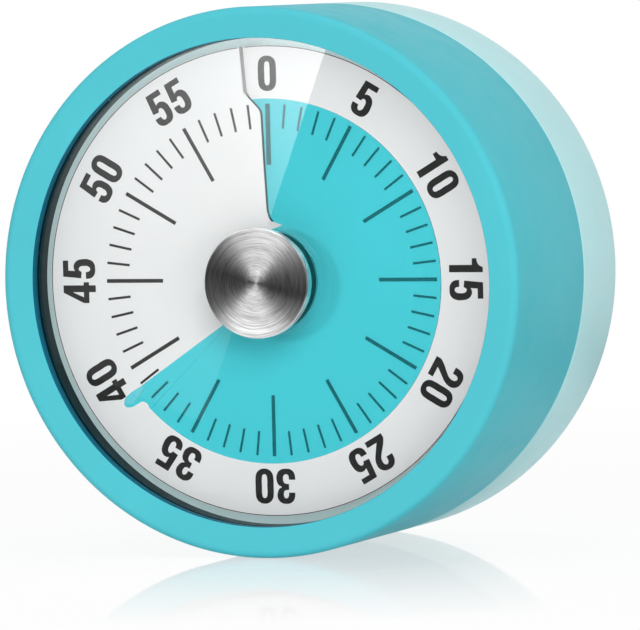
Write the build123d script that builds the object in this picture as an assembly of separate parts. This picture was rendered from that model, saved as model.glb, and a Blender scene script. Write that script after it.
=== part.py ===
from build123d import *
import math
import os

os.makedirs("parts", exist_ok=True)

# Sizes in mm. Heights run along the drum's axis, zero at the bezel's front and negative towards the back.
# Clock angles are in degrees, clockwise from twelve.

# Clearances
SLIP = 0.1
RUN = 0.05
PRESS = 0.01
AIR = 0.4

# Case
CASE_RADIUS = 40.0
CASE_DEPTH = 46.0
SEAM_DEPTH = 30.0
CASE_WALL = 2.4
BEZEL_WIDTH = 4.5
BEZEL_ROUND = 1.3
BEZEL_INNER_ROUND = 0.3
LIP_DEPTH = 0.8
BORE_STEP = 1.1
BACK_THICK = 2.4
BACK_ROUND = 1.5
SEAM_ROUND = 0.4
SPIGOT_LENGTH = 3.0
SPIGOT_WALL = 1.5

# Lens stack behind the bezel
GASKET_HEIGHT = 1.6
LENS_THICK = 1.2
SPACER_HEIGHT = 3.0

# Dial and time disc, both climbing one pitch in a turn
PITCH = 1.2
DIAL_THICK = 0.4
FILM_THICK = 0.3
DIAL_INNER = 7.4
DIAL_ABOVE_FLANGE = 0.2
NUMERAL_BAND = 7.5
DIAL_LAP = 12.0
FILM_TURN = 366.0
EDGE_LEAN = 2.4
REST_MINUTES = 38.9
TAB_LENGTH = 2.5
TAB_WIDTH = 1.9
TAB_FILLET = 0.9
GRIP_LAP = 0.6
GRIP_HEIGHT = 0.45
KEY_WIDTH = 1.5
KEY_DEPTH = 0.9
SLIT_OUTER = [(-4.6, 11.2), (-3.45, 2.2), (-3.3, 0.8), (-1.75, -1.2), (-1.2, -2.2)]
SLIT_INNER = [(0.3, 10.4), (0.75, 9.5), (2.3, 8.5)]
SLIT_HOOK_BACK = (0.3, 7.4)

# Dial carrier
FLANGE_WIDTH = 2.1
FLOOR_DROP = 0.4
FLOOR_THICK = 1.6
LEDGE_WIDTH = 4.2
LEDGE_ARC = 344.0
STANDOFF_HEIGHT = 1.0
STANDOFF_RADIUS = 2.6

# Knob
KNOB_RADIUS = 8.25
KNOB_PROUD = 0.1
KNOB_CAP_THICK = 1.8
KNOB_CHAMFER = 0.15
HUB_RADIUS = 7.1
HUB_NECK_RADIUS = 4.2
ARBOR_RADIUS = 2.0
ARBOR_INTO_HUB = 4.0

# Movement plates, with places on them given as insets from the rim and bearings
PLATE_GAP = 1.0
PLATE_THICK = 1.0
PLATE_SPACE = 12.0
PILLAR_RADIUS = 1.8
PILLARS = [(3.6, 38.5), (3.6, 141.5), (2.1, 254.0)]
BUSH_RADIUS = 3.2
BUSH_FLANGE = 0.8
PLATE_WINDOW_RADIUS = 5.5
PLATE_WINDOWS = [(8.5, 7.0), (8.5, 173.0)]

# Going train: teeth, with tooth thickness as a share of the pitch; the second wheel's reach sets the modules
WHEEL_EDGE = 0.2025
MODULE_STEP = 0.9
MAIN_TEETH = 60
SECOND_TEETH = 50
THIRD_TEETH = 40
PINION_TEETH = 10
ESCAPE_PINION_TEETH = 8
WHEEL_FILL = 0.42
PINION_FILL = 0.34
TOOTH_ADDENDUM = 0.55
TOOTH_DEDENDUM = 0.85
WHEEL_THICK = 0.8
LEAF_LENGTH = 1.8
TRAIN_ARBOR_RADIUS = 0.9
PIVOT_RADIUS = 0.5
SECOND_BEARING = 225.0
THIRD_BEARING = -20.1
ESCAPE_BEARING = -5.0
PALLET_BEARING = 35.0
MAIN_DROP = 1.8
SECOND_DROP = 4.3
THIRD_DROP = 6.9
ESCAPE_DROP = 9.4
COLLET_RADIUS = 4.6
COLLET_HEIGHT = 0.9
CLUTCH_RADIUS = 6.5
CLUTCH_HEIGHT = 0.5

# Escapement
ESCAPE_TEETH = 15
ESCAPE_RADIUS = 5.2
ESCAPE_TOOTH = 1.2
PALLET_DISTANCE = 8.5
PALLET_SPREAD = 35.0
PALLET_PIN_RADIUS = 0.3
PALLET_CLEARANCE = 0.5
INERTIA_BAR_HALF = 5.8
INERTIA_BAR_WIDTH = 1.8
INERTIA_DROP = 4.6

# Strike
CAM_RADIUS = 6.0
CAM_THICK = 1.0
CAM_DROP = 9.8
CAM_NOTCH = 1.6
HAMMER_INSET = 9.2
HAMMER_ARBOR_RADIUS = 0.9
HAMMER_ARM = 10.0
HAMMER_ARM_BEARING = 200.0
HAMMER_ARM_WIDTH = 1.6
HAMMER_HEAD_RADIUS = 1.5
HAMMER_HEAD_HEIGHT = 3.0
COIL_RADIUS = 1.5
COIL_WIRE = 0.25
COIL_PITCH = 0.8
COIL_TURNS = 4
BELL_GAP = 5.2
BELL_HEIGHT = 8.0
BELL_WALL = 1.0
BELL_ROUND = 5.0
BELL_POST_RADIUS = 3.5
BELL_POST_HEIGHT = 1.4

# Mainspring and barrel
BARREL_RADIUS = 12.5
BARREL_WALL = 0.8
BARREL_HEIGHT = 6.4
SPRING_INNER = 2.6
SPRING_THICK = 0.35
SPRING_GAP = 0.75
SPRING_HALF_TURNS = 14
SPRING_SIDE_GAP = 0.4
CLIP_RADIUS = 3.4
CLIP_THICK = 0.6

# Screws and magnet
POST_INSET = 4.6
POST_RADIUS = 2.8
POST_COUNT = 3
SCREW_RADIUS = 1.2
SCREW_BITE = 8.0
SCREW_HEAD_RADIUS = 2.2
SCREW_HEAD_HEIGHT = 1.3
SCREW_SINK = 2.0
SMALL_SCREW_RADIUS = 0.9
SMALL_HEAD_RADIUS = 1.7
SMALL_HEAD_HEIGHT = 0.8
SMALL_BITE = 4.0
DRIVE_WIDTH = 0.5
DRIVE_DEPTH = 0.5
MAGNET_RADIUS = 12.0
MAGNET_THICK = 2.5
MAGNET_COVER = 1.5

# Levels and radii that follow
bezel_inner = CASE_RADIUS - BEZEL_WIDTH
bore = bezel_inner + BORE_STEP
shell_inner = CASE_RADIUS - CASE_WALL
dial_radius = bore - FLANGE_WIDTH - 2 * SLIP
film_radius = dial_radius - NUMERAL_BAND
tab_reach = film_radius + TAB_LENGTH
slit_outer = [(x, film_radius + y) for x, y in SLIT_OUTER]
post_circle = shell_inner - POST_INSET
plate_radius = post_circle - POST_RADIUS - PLATE_GAP
bell_radius = post_circle - POST_RADIUS - BELL_GAP
lens_front = -LIP_DEPTH - GASKET_HEIGHT
lens_back = lens_front - LENS_THICK
flange_top = lens_back - SPACER_HEIGHT
dial_low = flange_top + DIAL_ABOVE_FLANGE
film_gap = (PITCH - DIAL_THICK - FILM_THICK) / 2
film_low = dial_low + film_gap + FILM_THICK
floor_top = dial_low - PITCH - FLOOR_DROP
floor_back = floor_top - FLOOR_THICK
front_plate_front = floor_back - STANDOFF_HEIGHT
front_plate_back = front_plate_front - PLATE_THICK
rear_plate_front = front_plate_back - PLATE_SPACE
rear_plate_back = rear_plate_front - PLATE_THICK
back_inside = -CASE_DEPTH + BACK_THICK
magnet_seat = -CASE_DEPTH + MAGNET_THICK + SLIP
magnet_inside = magnet_seat + MAGNET_COVER
bell_top = magnet_inside + BELL_POST_HEIGHT
bell_rim = bell_top + BELL_HEIGHT
barrel_back = rear_plate_back - BARREL_HEIGHT
clip_front = barrel_back - AIR
rest_angle = REST_MINUTES * 6.0
cap_back = KNOB_PROUD - KNOB_CAP_THICK
hub_back = floor_top + AIR


def step_from(start, distance, bearing):
    turn = math.radians(bearing)
    return (start[0] + distance * math.cos(turn), start[1] + distance * math.sin(turn))


def on_clock(radius, clock):
    return (radius * math.sin(math.radians(clock)), radius * math.cos(math.radians(clock)))


first_span = (MAIN_TEETH + PINION_TEETH) / 2
second_span = MODULE_STEP * (SECOND_TEETH / 2 + TOOTH_ADDENDUM)
first_module = (plate_radius - WHEEL_EDGE) / (first_span + second_span)
train_module = MODULE_STEP * first_module
main_reach = first_module * first_span
second_reach = train_module * (SECOND_TEETH + PINION_TEETH) / 2
third_reach = train_module * (THIRD_TEETH + ESCAPE_PINION_TEETH) / 2
second_axis = step_from((0.0, 0.0), main_reach, SECOND_BEARING)
third_axis = step_from(second_axis, second_reach, THIRD_BEARING)
escape_axis = step_from(third_axis, third_reach, ESCAPE_BEARING)
pallet_axis = step_from(escape_axis, PALLET_DISTANCE, PALLET_BEARING)
hammer_axis = step_from((0.0, 0.0), plate_radius - HAMMER_INSET, 90.0)
pillars = [step_from((0.0, 0.0), plate_radius - inset, bearing) for inset, bearing in PILLARS]
windows = [step_from((0.0, 0.0), plate_radius - inset, bearing) for inset, bearing in PLATE_WINDOWS]
posts = [step_from((0.0, 0.0), post_circle, 90.0 + 360.0 / POST_COUNT * k) for k in range(POST_COUNT)]


# Shared shapes
def rod(radius, low, high, at=(0.0, 0.0)):
    return Pos(at[0], at[1], low) * extrude(Circle(radius), high - low)


def tube(outer, inner, low, high, at=(0.0, 0.0)):
    return Pos(at[0], at[1], low) * extrude(Circle(outer) - Circle(inner), high - low)


def slab(points, low, high):
    return Pos(0, 0, low) * extrude(make_face(Polyline(*points, close=True)), high - low)


def turned(points, rounds):
    face = make_face(Polyline(*points, close=True))
    for corner, radius in rounds:
        face = fillet(face.vertices().sort_by_distance((*points[corner], 0))[0], radius)
    return revolve(Plane.XZ * face, axis=Axis.Z)


def climbing(inner, outer, top, thick, start, arc):
    path = Helix(pitch=PITCH, height=PITCH * arc / 360, radius=(inner + outer) / 2, lefthand=True)
    section = Plane(origin=path @ 0, x_dir=(1, 0, 0), z_dir=path % 0) * Rectangle(outer - inner, thick)
    plate = sweep(section, path=path, is_frenet=True)
    return Pos(0, 0, top - thick / 2 + PITCH * start / 360) * Rot(0, 0, 90 - start) * plate


def toothed(teeth, module, fill):
    pitch_radius = teeth * module / 2
    tip = pitch_radius + TOOTH_ADDENDUM * module
    root = pitch_radius - TOOTH_DEDENDUM * module
    half = math.degrees(fill * math.pi * module / 2 / pitch_radius)
    edges = []
    for k in range(teeth):
        middle = 360.0 / teeth * k
        left = step_from((0, 0), pitch_radius, middle - half)
        right = step_from((0, 0), pitch_radius, middle + half)
        low_left = step_from((0, 0), root, middle - half)
        low_right = step_from((0, 0), root, middle + half)
        following = step_from((0, 0), root, middle + 360.0 / teeth - half)
        edges.append(Line(low_left, left))
        edges.append(ThreePointArc(left, step_from((0, 0), tip, middle), right))
        edges.append(Line(right, low_right))
        edges.append(Line(low_right, following))
    return make_face(Wire(edges))


def wheel(teeth, module, at, back, bore_radius, bearing):
    rim = teeth * module / 2 - TOOTH_DEDENDUM * module
    hole = rim * 0.24
    face = toothed(teeth, module, WHEEL_FILL) - Circle(bore_radius)
    face -= PolarLocations(rim * 0.58, 5) * Circle(hole)
    return Pos(at[0], at[1], back) * Rot(0, 0, bearing) * extrude(face, WHEEL_THICK)


def leaf_arbor(teeth, module, at, leaf_back, bearing):
    leaves = extrude(toothed(teeth, module, PINION_FILL), LEAF_LENGTH)
    body = Pos(at[0], at[1], leaf_back) * Rot(0, 0, bearing) * leaves
    body += rod(TRAIN_ARBOR_RADIUS, rear_plate_front + RUN, front_plate_back - RUN, at)
    return body + rod(PIVOT_RADIUS, rear_plate_back, front_plate_front, at)


def screw(radius, head_radius, head_height, seat, bite):
    body = rod(radius, seat, seat + bite) + rod(head_radius, seat - head_height, seat)
    cross = Box(head_radius * 1.5, DRIVE_WIDTH, DRIVE_DEPTH)
    cross += Box(DRIVE_WIDTH, head_radius * 1.5, DRIVE_DEPTH)
    return body - Pos(0, 0, seat - head_height + DRIVE_DEPTH / 2) * cross


# Case
def front_housing():
    corners = [
        (bezel_inner, 0), (CASE_RADIUS, 0), (CASE_RADIUS, -SEAM_DEPTH), (shell_inner, -SEAM_DEPTH),
        (shell_inner, floor_back), (bore, floor_back), (bore, -LIP_DEPTH), (bezel_inner, -LIP_DEPTH),
    ]
    return turned(corners, [(1, BEZEL_ROUND), (0, BEZEL_INNER_ROUND)])


def back_cover():
    spigot_outer = shell_inner - SLIP
    spigot_inner = spigot_outer - SPIGOT_WALL
    corners = [
        (CASE_RADIUS, -SEAM_DEPTH), (CASE_RADIUS, -CASE_DEPTH), (0, -CASE_DEPTH), (0, back_inside),
        (shell_inner, back_inside), (shell_inner, -SEAM_DEPTH - 2 * SPIGOT_WALL),
        (spigot_inner, -SEAM_DEPTH - SPIGOT_WALL), (spigot_inner, -SEAM_DEPTH + SPIGOT_LENGTH),
        (spigot_outer, -SEAM_DEPTH + SPIGOT_LENGTH), (spigot_outer, -SEAM_DEPTH),
    ]
    cover = turned(corners, [(1, BACK_ROUND), (0, SEAM_ROUND)])
    cover += rod(MAGNET_RADIUS + CASE_WALL, -CASE_DEPTH + BACK_ROUND, magnet_inside)
    cover += rod(BELL_POST_RADIUS, magnet_inside - MAGNET_COVER / 2, bell_top)
    for at in posts:
        cover += rod(POST_RADIUS, -CASE_DEPTH + BACK_ROUND, -SEAM_DEPTH - SLIP, at)
    for at in posts:
        cover -= rod(SCREW_RADIUS + SLIP, -CASE_DEPTH, -SEAM_DEPTH, at)
        cover -= rod(SCREW_HEAD_RADIUS + SLIP, -CASE_DEPTH, -CASE_DEPTH + SCREW_SINK, at)
    cover -= rod(MAGNET_RADIUS + SLIP, -CASE_DEPTH, magnet_seat)
    return cover - rod(SMALL_SCREW_RADIUS + PRESS, magnet_seat + MAGNET_COVER / 3, bell_top)


def case_screws():
    seat = -CASE_DEPTH + SCREW_SINK
    bite = CASE_DEPTH - SCREW_SINK - SEAM_DEPTH + SCREW_BITE
    one = screw(SCREW_RADIUS, SCREW_HEAD_RADIUS, SCREW_HEAD_HEIGHT, seat, bite)
    return [Pos(*at, 0) * one for at in posts]


def back_magnet():
    return rod(MAGNET_RADIUS, -CASE_DEPTH, magnet_seat - SLIP)


# Lens stack
def lens_gasket():
    return tube(bore - SLIP, bezel_inner, lens_front, -LIP_DEPTH)


def lens():
    return tube(bore - SLIP, HUB_RADIUS + AIR, lens_back, lens_front)


def dial_spacer():
    return tube(bore - SLIP, bezel_inner, flange_top, lens_back)


# Dial, its carrier and the time disc
def dial_carrier():
    carrier = tube(bore - SLIP, HUB_NECK_RADIUS + AIR, floor_back, floor_top)
    carrier += tube(bore - SLIP, dial_radius + SLIP, floor_back, flange_top)
    ledge_outer = dial_radius + 2 * SLIP
    ledge_thick = PITCH + FLOOR_DROP + FLOOR_THICK / 2
    ledge_top = dial_low - DIAL_THICK - PRESS
    carrier += climbing(ledge_outer - LEDGE_WIDTH, ledge_outer, ledge_top, ledge_thick, 0.0, LEDGE_ARC)
    for at in pillars:
        carrier += rod(STANDOFF_RADIUS, front_plate_front, floor_back, at)
    for at in posts:
        carrier += rod(POST_RADIUS, -SEAM_DEPTH, floor_back, at)
    for at in pillars:
        carrier -= rod(SMALL_SCREW_RADIUS + RUN, front_plate_front, floor_top, at)
        carrier -= rod(SMALL_HEAD_RADIUS + RUN, floor_top - SMALL_HEAD_HEIGHT, floor_top, at)
    for at in posts:
        carrier -= rod(SCREW_RADIUS + PRESS, -SEAM_DEPTH, -SEAM_DEPTH + SCREW_BITE + SLIP, at)
    return carrier


def dial():
    plate = climbing(DIAL_INNER, dial_radius, dial_low, DIAL_THICK, -DIAL_LAP, 360 + 2.5 * DIAL_LAP)
    right = [(SLIT_HOOK_BACK[0], 0), (dial_radius, dial_radius / 2), (dial_radius, slit_outer[0][1])]
    beyond = slit_outer + SLIT_INNER + [SLIT_HOOK_BACK] + right
    level = dial_low + (PITCH - DIAL_THICK) / 2
    return plate - slab(beyond, level, level + 2 * PITCH)


def tab_outline(start, reach, width):
    straight = reach - width / 2 - start
    head = Pos(0, reach - width / 2) * Circle(width / 2)
    shape = Pos(0, start + straight / 2) * Rectangle(width, straight) + head
    return Rot(0, 0, -rest_angle) * Pos(-width / 2, 0) * shape


def time_disc():
    start = rest_angle - FILM_TURN
    sheet = climbing(DIAL_INNER - KEY_DEPTH, tab_reach + SLIP, film_low, FILM_THICK, start, FILM_TURN)
    rim = Circle(film_radius) + tab_outline(film_radius - TAB_WIDTH, tab_reach, TAB_WIDTH)
    crook = on_clock(film_radius, rest_angle - math.degrees(TAB_WIDTH / film_radius))
    rim = fillet(rim.vertices().sort_by_distance((*crook, 0))[0], TAB_FILLET)
    key = Rot(0, 0, -rest_angle) * Pos(0, -DIAL_INNER) * Rectangle(KEY_WIDTH, 2 * KEY_DEPTH)
    outline = rim - (Circle(DIAL_INNER) - key)
    sheet = sheet & (Pos(0, 0, film_low - 2 * PITCH) * extrude(outline, 4 * PITCH))
    tip = on_clock(tab_reach, rest_angle)
    inner = step_from(tip, tab_reach, 270.0 - rest_angle - EDGE_LEAN)
    swung = step_from(tip, tab_reach, 270.0 - rest_angle + 3 * EDGE_LEAN)
    outer = step_from(tip, TAB_WIDTH, 90.0 - rest_angle)
    level = film_low + PITCH * (rest_angle / 360 - 0.5)
    beside = step_from(outer, TAB_WIDTH, -rest_angle)
    sheet -= slab([tip, inner, swung, beside, outer], level, level + PITCH)
    return sheet - tube(tab_reach + TAB_WIDTH, film_radius, level - 2 * PITCH, level)


def pointer_grip():
    shape = Pos(0, 0, film_low + PITCH * rest_angle / 360) * extrude(
        tab_outline(film_radius - GRIP_LAP, tab_reach - SLIP, TAB_WIDTH - 2 * SLIP), GRIP_HEIGHT
    )
    return fillet(shape.faces().sort_by(Axis.Z)[-1].edges(), GRIP_HEIGHT / 2)


# Knob
def knob_cap():
    cap = rod(KNOB_RADIUS, cap_back, KNOB_PROUD)
    return chamfer(cap.faces().sort_by(Axis.Z)[-1].edges(), KNOB_CHAMFER)


def knob_hub():
    hub = rod(HUB_RADIUS, hub_back, cap_back) + rod(HUB_NECK_RADIUS, front_plate_front + AIR, hub_back)
    hub -= rod(ARBOR_RADIUS + PRESS, front_plate_front, cap_back - ARBOR_INTO_HUB / 2)
    slot_top = film_low + PITCH + AIR
    slot = Pos(0, -DIAL_INNER) * Rectangle(KEY_WIDTH + 2 * SLIP, 2 * KEY_DEPTH + 4 * SLIP)
    return hub - Rot(0, 0, -rest_angle) * Pos(0, 0, hub_back) * extrude(slot, slot_top - hub_back)


def main_arbor():
    return rod(ARBOR_RADIUS, clip_front - 2 * CLIP_THICK, cap_back - ARBOR_INTO_HUB / 2 - SLIP)


def arbor_clip():
    return tube(CLIP_RADIUS, ARBOR_RADIUS + PRESS, clip_front - CLIP_THICK, clip_front)


def main_wheel():
    back = front_plate_back - MAIN_DROP - WHEEL_THICK / 2
    return wheel(MAIN_TEETH, first_module, (0, 0), back, ARBOR_RADIUS + PRESS, SECOND_BEARING)


def wheel_collet():
    back = front_plate_back - MAIN_DROP + WHEEL_THICK / 2
    return tube(COLLET_RADIUS, ARBOR_RADIUS + PRESS, back, back + COLLET_HEIGHT)


def clutch_spring():
    front = front_plate_back - MAIN_DROP - WHEEL_THICK / 2
    star = Circle(CLUTCH_RADIUS) - Circle(ARBOR_RADIUS + PRESS)
    star -= PolarLocations(CLUTCH_RADIUS, 6) * Circle(CLUTCH_RADIUS / 4)
    return Pos(0, 0, front - CLUTCH_HEIGHT) * extrude(star, CLUTCH_HEIGHT)


def strike_cam():
    notch = Rot(0, 0, -rest_angle) * Pos(0, CAM_RADIUS) * Rot(0, 0, 45) * Rectangle(CAM_NOTCH, CAM_NOTCH)
    face = Circle(CAM_RADIUS) - Circle(ARBOR_RADIUS + PRESS) - notch
    return Pos(0, 0, front_plate_back - CAM_DROP - CAM_THICK) * extrude(face, CAM_THICK)


# Movement frame
def plate(low):
    body = rod(plate_radius, low, low + PLATE_THICK) - rod(BUSH_RADIUS + PRESS, low, low + PLATE_THICK)
    for at in (second_axis, third_axis, escape_axis, pallet_axis):
        body -= rod(PIVOT_RADIUS + RUN, low, low + PLATE_THICK, at)
    for at in pillars:
        body -= rod(SMALL_SCREW_RADIUS + RUN, low, low + PLATE_THICK, at)
    for at in windows:
        body -= rod(PLATE_WINDOW_RADIUS, low, low + PLATE_THICK, at)
    return body - rod(HAMMER_ARBOR_RADIUS + RUN, low, low + PLATE_THICK, hammer_axis)


def front_plate():
    return plate(front_plate_back)


def rear_plate():
    return plate(rear_plate_back)


def arbor_bushes():
    front = tube(BUSH_RADIUS, ARBOR_RADIUS + RUN, front_plate_back, front_plate_front)
    rear = tube(BUSH_RADIUS, ARBOR_RADIUS + RUN, rear_plate_back, rear_plate_front)
    flange_front = rear_plate_front + BUSH_FLANGE
    rear += tube(BUSH_RADIUS + BUSH_FLANGE, ARBOR_RADIUS + RUN, rear_plate_front, flange_front)
    return [front, rear]


def plate_pillars():
    one = rod(PILLAR_RADIUS, rear_plate_front, front_plate_back)
    one -= rod(SMALL_SCREW_RADIUS + PRESS, rear_plate_front, rear_plate_front + SMALL_BITE)
    one -= rod(SMALL_SCREW_RADIUS + PRESS, front_plate_back - SMALL_BITE, front_plate_back)
    return [Pos(*at, 0) * one for at in pillars]


def plate_screws():
    bite = PLATE_THICK + SMALL_BITE - SLIP
    one = screw(SMALL_SCREW_RADIUS, SMALL_HEAD_RADIUS, SMALL_HEAD_HEIGHT, rear_plate_back, bite)
    return [Pos(*at, 0) * one for at in pillars]


def movement_screws():
    seat = floor_top - SMALL_HEAD_HEIGHT
    bite = seat - front_plate_back + SMALL_BITE - SLIP
    one = screw(SMALL_SCREW_RADIUS, SMALL_HEAD_RADIUS, SMALL_HEAD_HEIGHT, -seat, bite)
    return [Pos(*at, 0) * Rot(180, 0, 0) * one for at in pillars]


# Going train
def second_pinion():
    leaf_back = front_plate_back - MAIN_DROP - LEAF_LENGTH / 2
    toward = SECOND_BEARING + 180 + 180 / PINION_TEETH
    return leaf_arbor(PINION_TEETH, first_module, second_axis, leaf_back, toward)


def second_wheel():
    back = front_plate_back - SECOND_DROP - WHEEL_THICK / 2
    return wheel(SECOND_TEETH, train_module, second_axis, back, TRAIN_ARBOR_RADIUS + PRESS, THIRD_BEARING)


def third_pinion():
    leaf_back = front_plate_back - SECOND_DROP - LEAF_LENGTH / 2
    toward = THIRD_BEARING + 180 + 180 / PINION_TEETH
    return leaf_arbor(PINION_TEETH, train_module, third_axis, leaf_back, toward)


def third_wheel():
    back = front_plate_back - THIRD_DROP - WHEEL_THICK / 2
    return wheel(THIRD_TEETH, train_module, third_axis, back, TRAIN_ARBOR_RADIUS + PRESS, ESCAPE_BEARING)


def escape_pinion():
    leaf_back = front_plate_back - THIRD_DROP - LEAF_LENGTH / 2
    toward = ESCAPE_BEARING + 180 + 180 / ESCAPE_PINION_TEETH
    return leaf_arbor(ESCAPE_PINION_TEETH, train_module, escape_axis, leaf_back, toward)


def escape_wheel():
    points = []
    for k in range(ESCAPE_TEETH):
        points.append(step_from((0, 0), ESCAPE_RADIUS, 360 / ESCAPE_TEETH * k))
        points.append(step_from((0, 0), ESCAPE_RADIUS - ESCAPE_TOOTH, 360 / ESCAPE_TEETH * (k + 0.3)))
    face = make_face(Polyline(*points, close=True)) - Circle(TRAIN_ARBOR_RADIUS + PRESS)
    back = front_plate_back - ESCAPE_DROP - WHEEL_THICK / 2
    return Pos(*escape_axis, back) * extrude(face, WHEEL_THICK)


# Escapement
def pallet_arbor():
    body = rod(TRAIN_ARBOR_RADIUS, rear_plate_front + RUN, front_plate_back - RUN, pallet_axis)
    return body + rod(PIVOT_RADIUS, rear_plate_back, front_plate_front, pallet_axis)


def pallet_anchor():
    reach = ESCAPE_RADIUS + PALLET_CLEARANCE + PALLET_PIN_RADIUS
    low = front_plate_back - ESCAPE_DROP + WHEEL_THICK / 2 + AIR
    pins = [step_from(escape_axis, reach, PALLET_BEARING + side * PALLET_SPREAD) for side in (-1, 1)]
    body = rod(2 * TRAIN_ARBOR_RADIUS, low, low + WHEEL_THICK, pallet_axis)
    for pin in pins:
        body += rod(3 * PALLET_PIN_RADIUS, low, low + WHEEL_THICK, pin)
        middle = ((pin[0] + pallet_axis[0]) / 2, (pin[1] + pallet_axis[1]) / 2)
        length = math.dist(pin, pallet_axis)
        turn = math.degrees(math.atan2(pin[1] - pallet_axis[1], pin[0] - pallet_axis[0]))
        arm = Rot(0, 0, turn) * Box(length, 4 * PALLET_PIN_RADIUS, WHEEL_THICK)
        body += Pos(*middle, low + WHEEL_THICK / 2) * arm
        body += rod(PALLET_PIN_RADIUS, low - WHEEL_THICK - 2 * AIR, low + WHEEL_THICK, pin)
    return body - rod(TRAIN_ARBOR_RADIUS + PRESS, low, low + WHEEL_THICK, pallet_axis)


def inertia_bar():
    back = front_plate_back - INERTIA_DROP
    face = SlotOverall(2 * INERTIA_BAR_HALF, INERTIA_BAR_WIDTH) + Circle(2 * TRAIN_ARBOR_RADIUS)
    face -= Circle(TRAIN_ARBOR_RADIUS + PRESS)
    return Pos(*pallet_axis, back) * Rot(0, 0, PALLET_BEARING + 90) * extrude(face, WHEEL_THICK)


# Strike
def hammer_arbor():
    head_back = bell_rim - AIR - HAMMER_HEAD_HEIGHT
    return rod(HAMMER_ARBOR_RADIUS, head_back, front_plate_front, hammer_axis)


def hammer_tail():
    low = front_plate_back - CAM_DROP - CAM_THICK
    length = hammer_axis[1] - CAM_RADIUS - AIR
    face = Circle(2 * HAMMER_ARBOR_RADIUS) + Pos(0, -length / 2) * Rectangle(HAMMER_ARM_WIDTH, length)
    face -= Circle(HAMMER_ARBOR_RADIUS + PRESS)
    return Pos(*hammer_axis, low) * extrude(face, CAM_THICK)


def hammer():
    middle = bell_rim - AIR - HAMMER_HEAD_HEIGHT / 2
    arm = Pos(HAMMER_ARM / 2, 0) * Rectangle(HAMMER_ARM, HAMMER_ARM_WIDTH) + Circle(2 * HAMMER_ARBOR_RADIUS)
    arm -= Circle(HAMMER_ARBOR_RADIUS + PRESS)
    body = Pos(0, 0, -CAM_THICK / 2) * extrude(arm, CAM_THICK)
    body += rod(HAMMER_HEAD_RADIUS, -HAMMER_HEAD_HEIGHT / 2, HAMMER_HEAD_HEIGHT / 2, (HAMMER_ARM, 0))
    return Pos(*hammer_axis, middle) * Rot(0, 0, HAMMER_ARM_BEARING) * body


def hammer_spring():
    path = Helix(pitch=COIL_PITCH, height=COIL_PITCH * COIL_TURNS, radius=COIL_RADIUS)
    coil = sweep(Plane(origin=path @ 0, z_dir=path % 0) * Circle(COIL_WIRE), path=path, is_frenet=True)
    return Pos(*hammer_axis, front_plate_back - CAM_DROP + COIL_WIRE + RUN) * coil


def bell():
    corners = [
        (SMALL_SCREW_RADIUS + RUN, bell_top), (bell_radius, bell_top), (bell_radius, bell_rim),
        (bell_radius - BELL_WALL, bell_rim), (bell_radius - BELL_WALL, bell_top + BELL_WALL),
        (SMALL_SCREW_RADIUS + RUN, bell_top + BELL_WALL),
    ]
    return turned(corners, [(1, BELL_ROUND), (4, BELL_ROUND - BELL_WALL)])


def bell_screw():
    seat = bell_top + BELL_WALL
    bite = seat - magnet_seat - MAGNET_COVER / 2
    return Rot(180, 0, 0) * screw(SMALL_SCREW_RADIUS, SMALL_HEAD_RADIUS, SMALL_HEAD_HEIGHT, -seat, bite)


# Mainspring
def spring_barrel():
    corners = [
        (ARBOR_RADIUS + RUN, barrel_back), (BARREL_RADIUS, barrel_back), (BARREL_RADIUS, rear_plate_back),
        (BARREL_RADIUS - BARREL_WALL, rear_plate_back),
        (BARREL_RADIUS - BARREL_WALL, barrel_back + BARREL_WALL),
        (ARBOR_RADIUS + RUN, barrel_back + BARREL_WALL),
    ]
    return turned(corners, [])


def mainspring():
    outer = []
    inner = []
    for k in range(SPRING_HALF_TURNS):
        middle = SPRING_INNER + SPRING_GAP / 2 * k
        at = (SPRING_GAP / 4 * (1 if k % 2 else -1), 0)
        outer.append(CenterArc(at, middle + SPRING_THICK / 2, 180 * (k % 2), 180))
        inner.append(CenterArc(at, middle - SPRING_THICK / 2, 180 * (k % 2), 180))
    ends = [Line(inner[0] @ 0, outer[0] @ 0), Line(inner[-1] @ 1, outer[-1] @ 1)]
    face = make_face(Wire(outer + inner + ends))
    low = barrel_back + BARREL_WALL + SPRING_SIDE_GAP
    return Pos(0, 0, low) * extrude(face, rear_plate_back - SPRING_SIDE_GAP - low)


PIECES = [
    front_housing, back_cover, case_screws, back_magnet, lens_gasket, lens, dial_spacer,
    dial_carrier, dial, time_disc, pointer_grip, knob_cap, knob_hub, main_arbor, arbor_clip,
    main_wheel, wheel_collet, clutch_spring, strike_cam, front_plate, rear_plate, arbor_bushes,
    plate_pillars, plate_screws, movement_screws, second_pinion, second_wheel, third_pinion,
    third_wheel, escape_pinion, escape_wheel, pallet_arbor, pallet_anchor, inertia_bar,
    hammer_arbor, hammer_tail, hammer, hammer_spring, bell, bell_screw, spring_barrel, mainspring,
]

# The drum stands on its rim with the dial towards -Y.
stand = Location((0, (KNOB_PROUD - CASE_DEPTH) / 2, CASE_RADIUS), (90, 0, 0))
for make in PIECES:
    shape = make()
    solids = shape if isinstance(shape, list) else [shape]
    export_step(stand * Compound(children=solids), f"parts/{make.__name__}.step")
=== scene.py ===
"""A wind-up kitchen timer: turquoise drum, white minute dial, tinted time disc and turned metal knob."""

import logging
import math
from dataclasses import dataclass, field, replace
from enum import Enum
from typing import Callable, Iterable, Sequence

import bmesh
import bpy
from mathutils import Matrix, Vector


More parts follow.
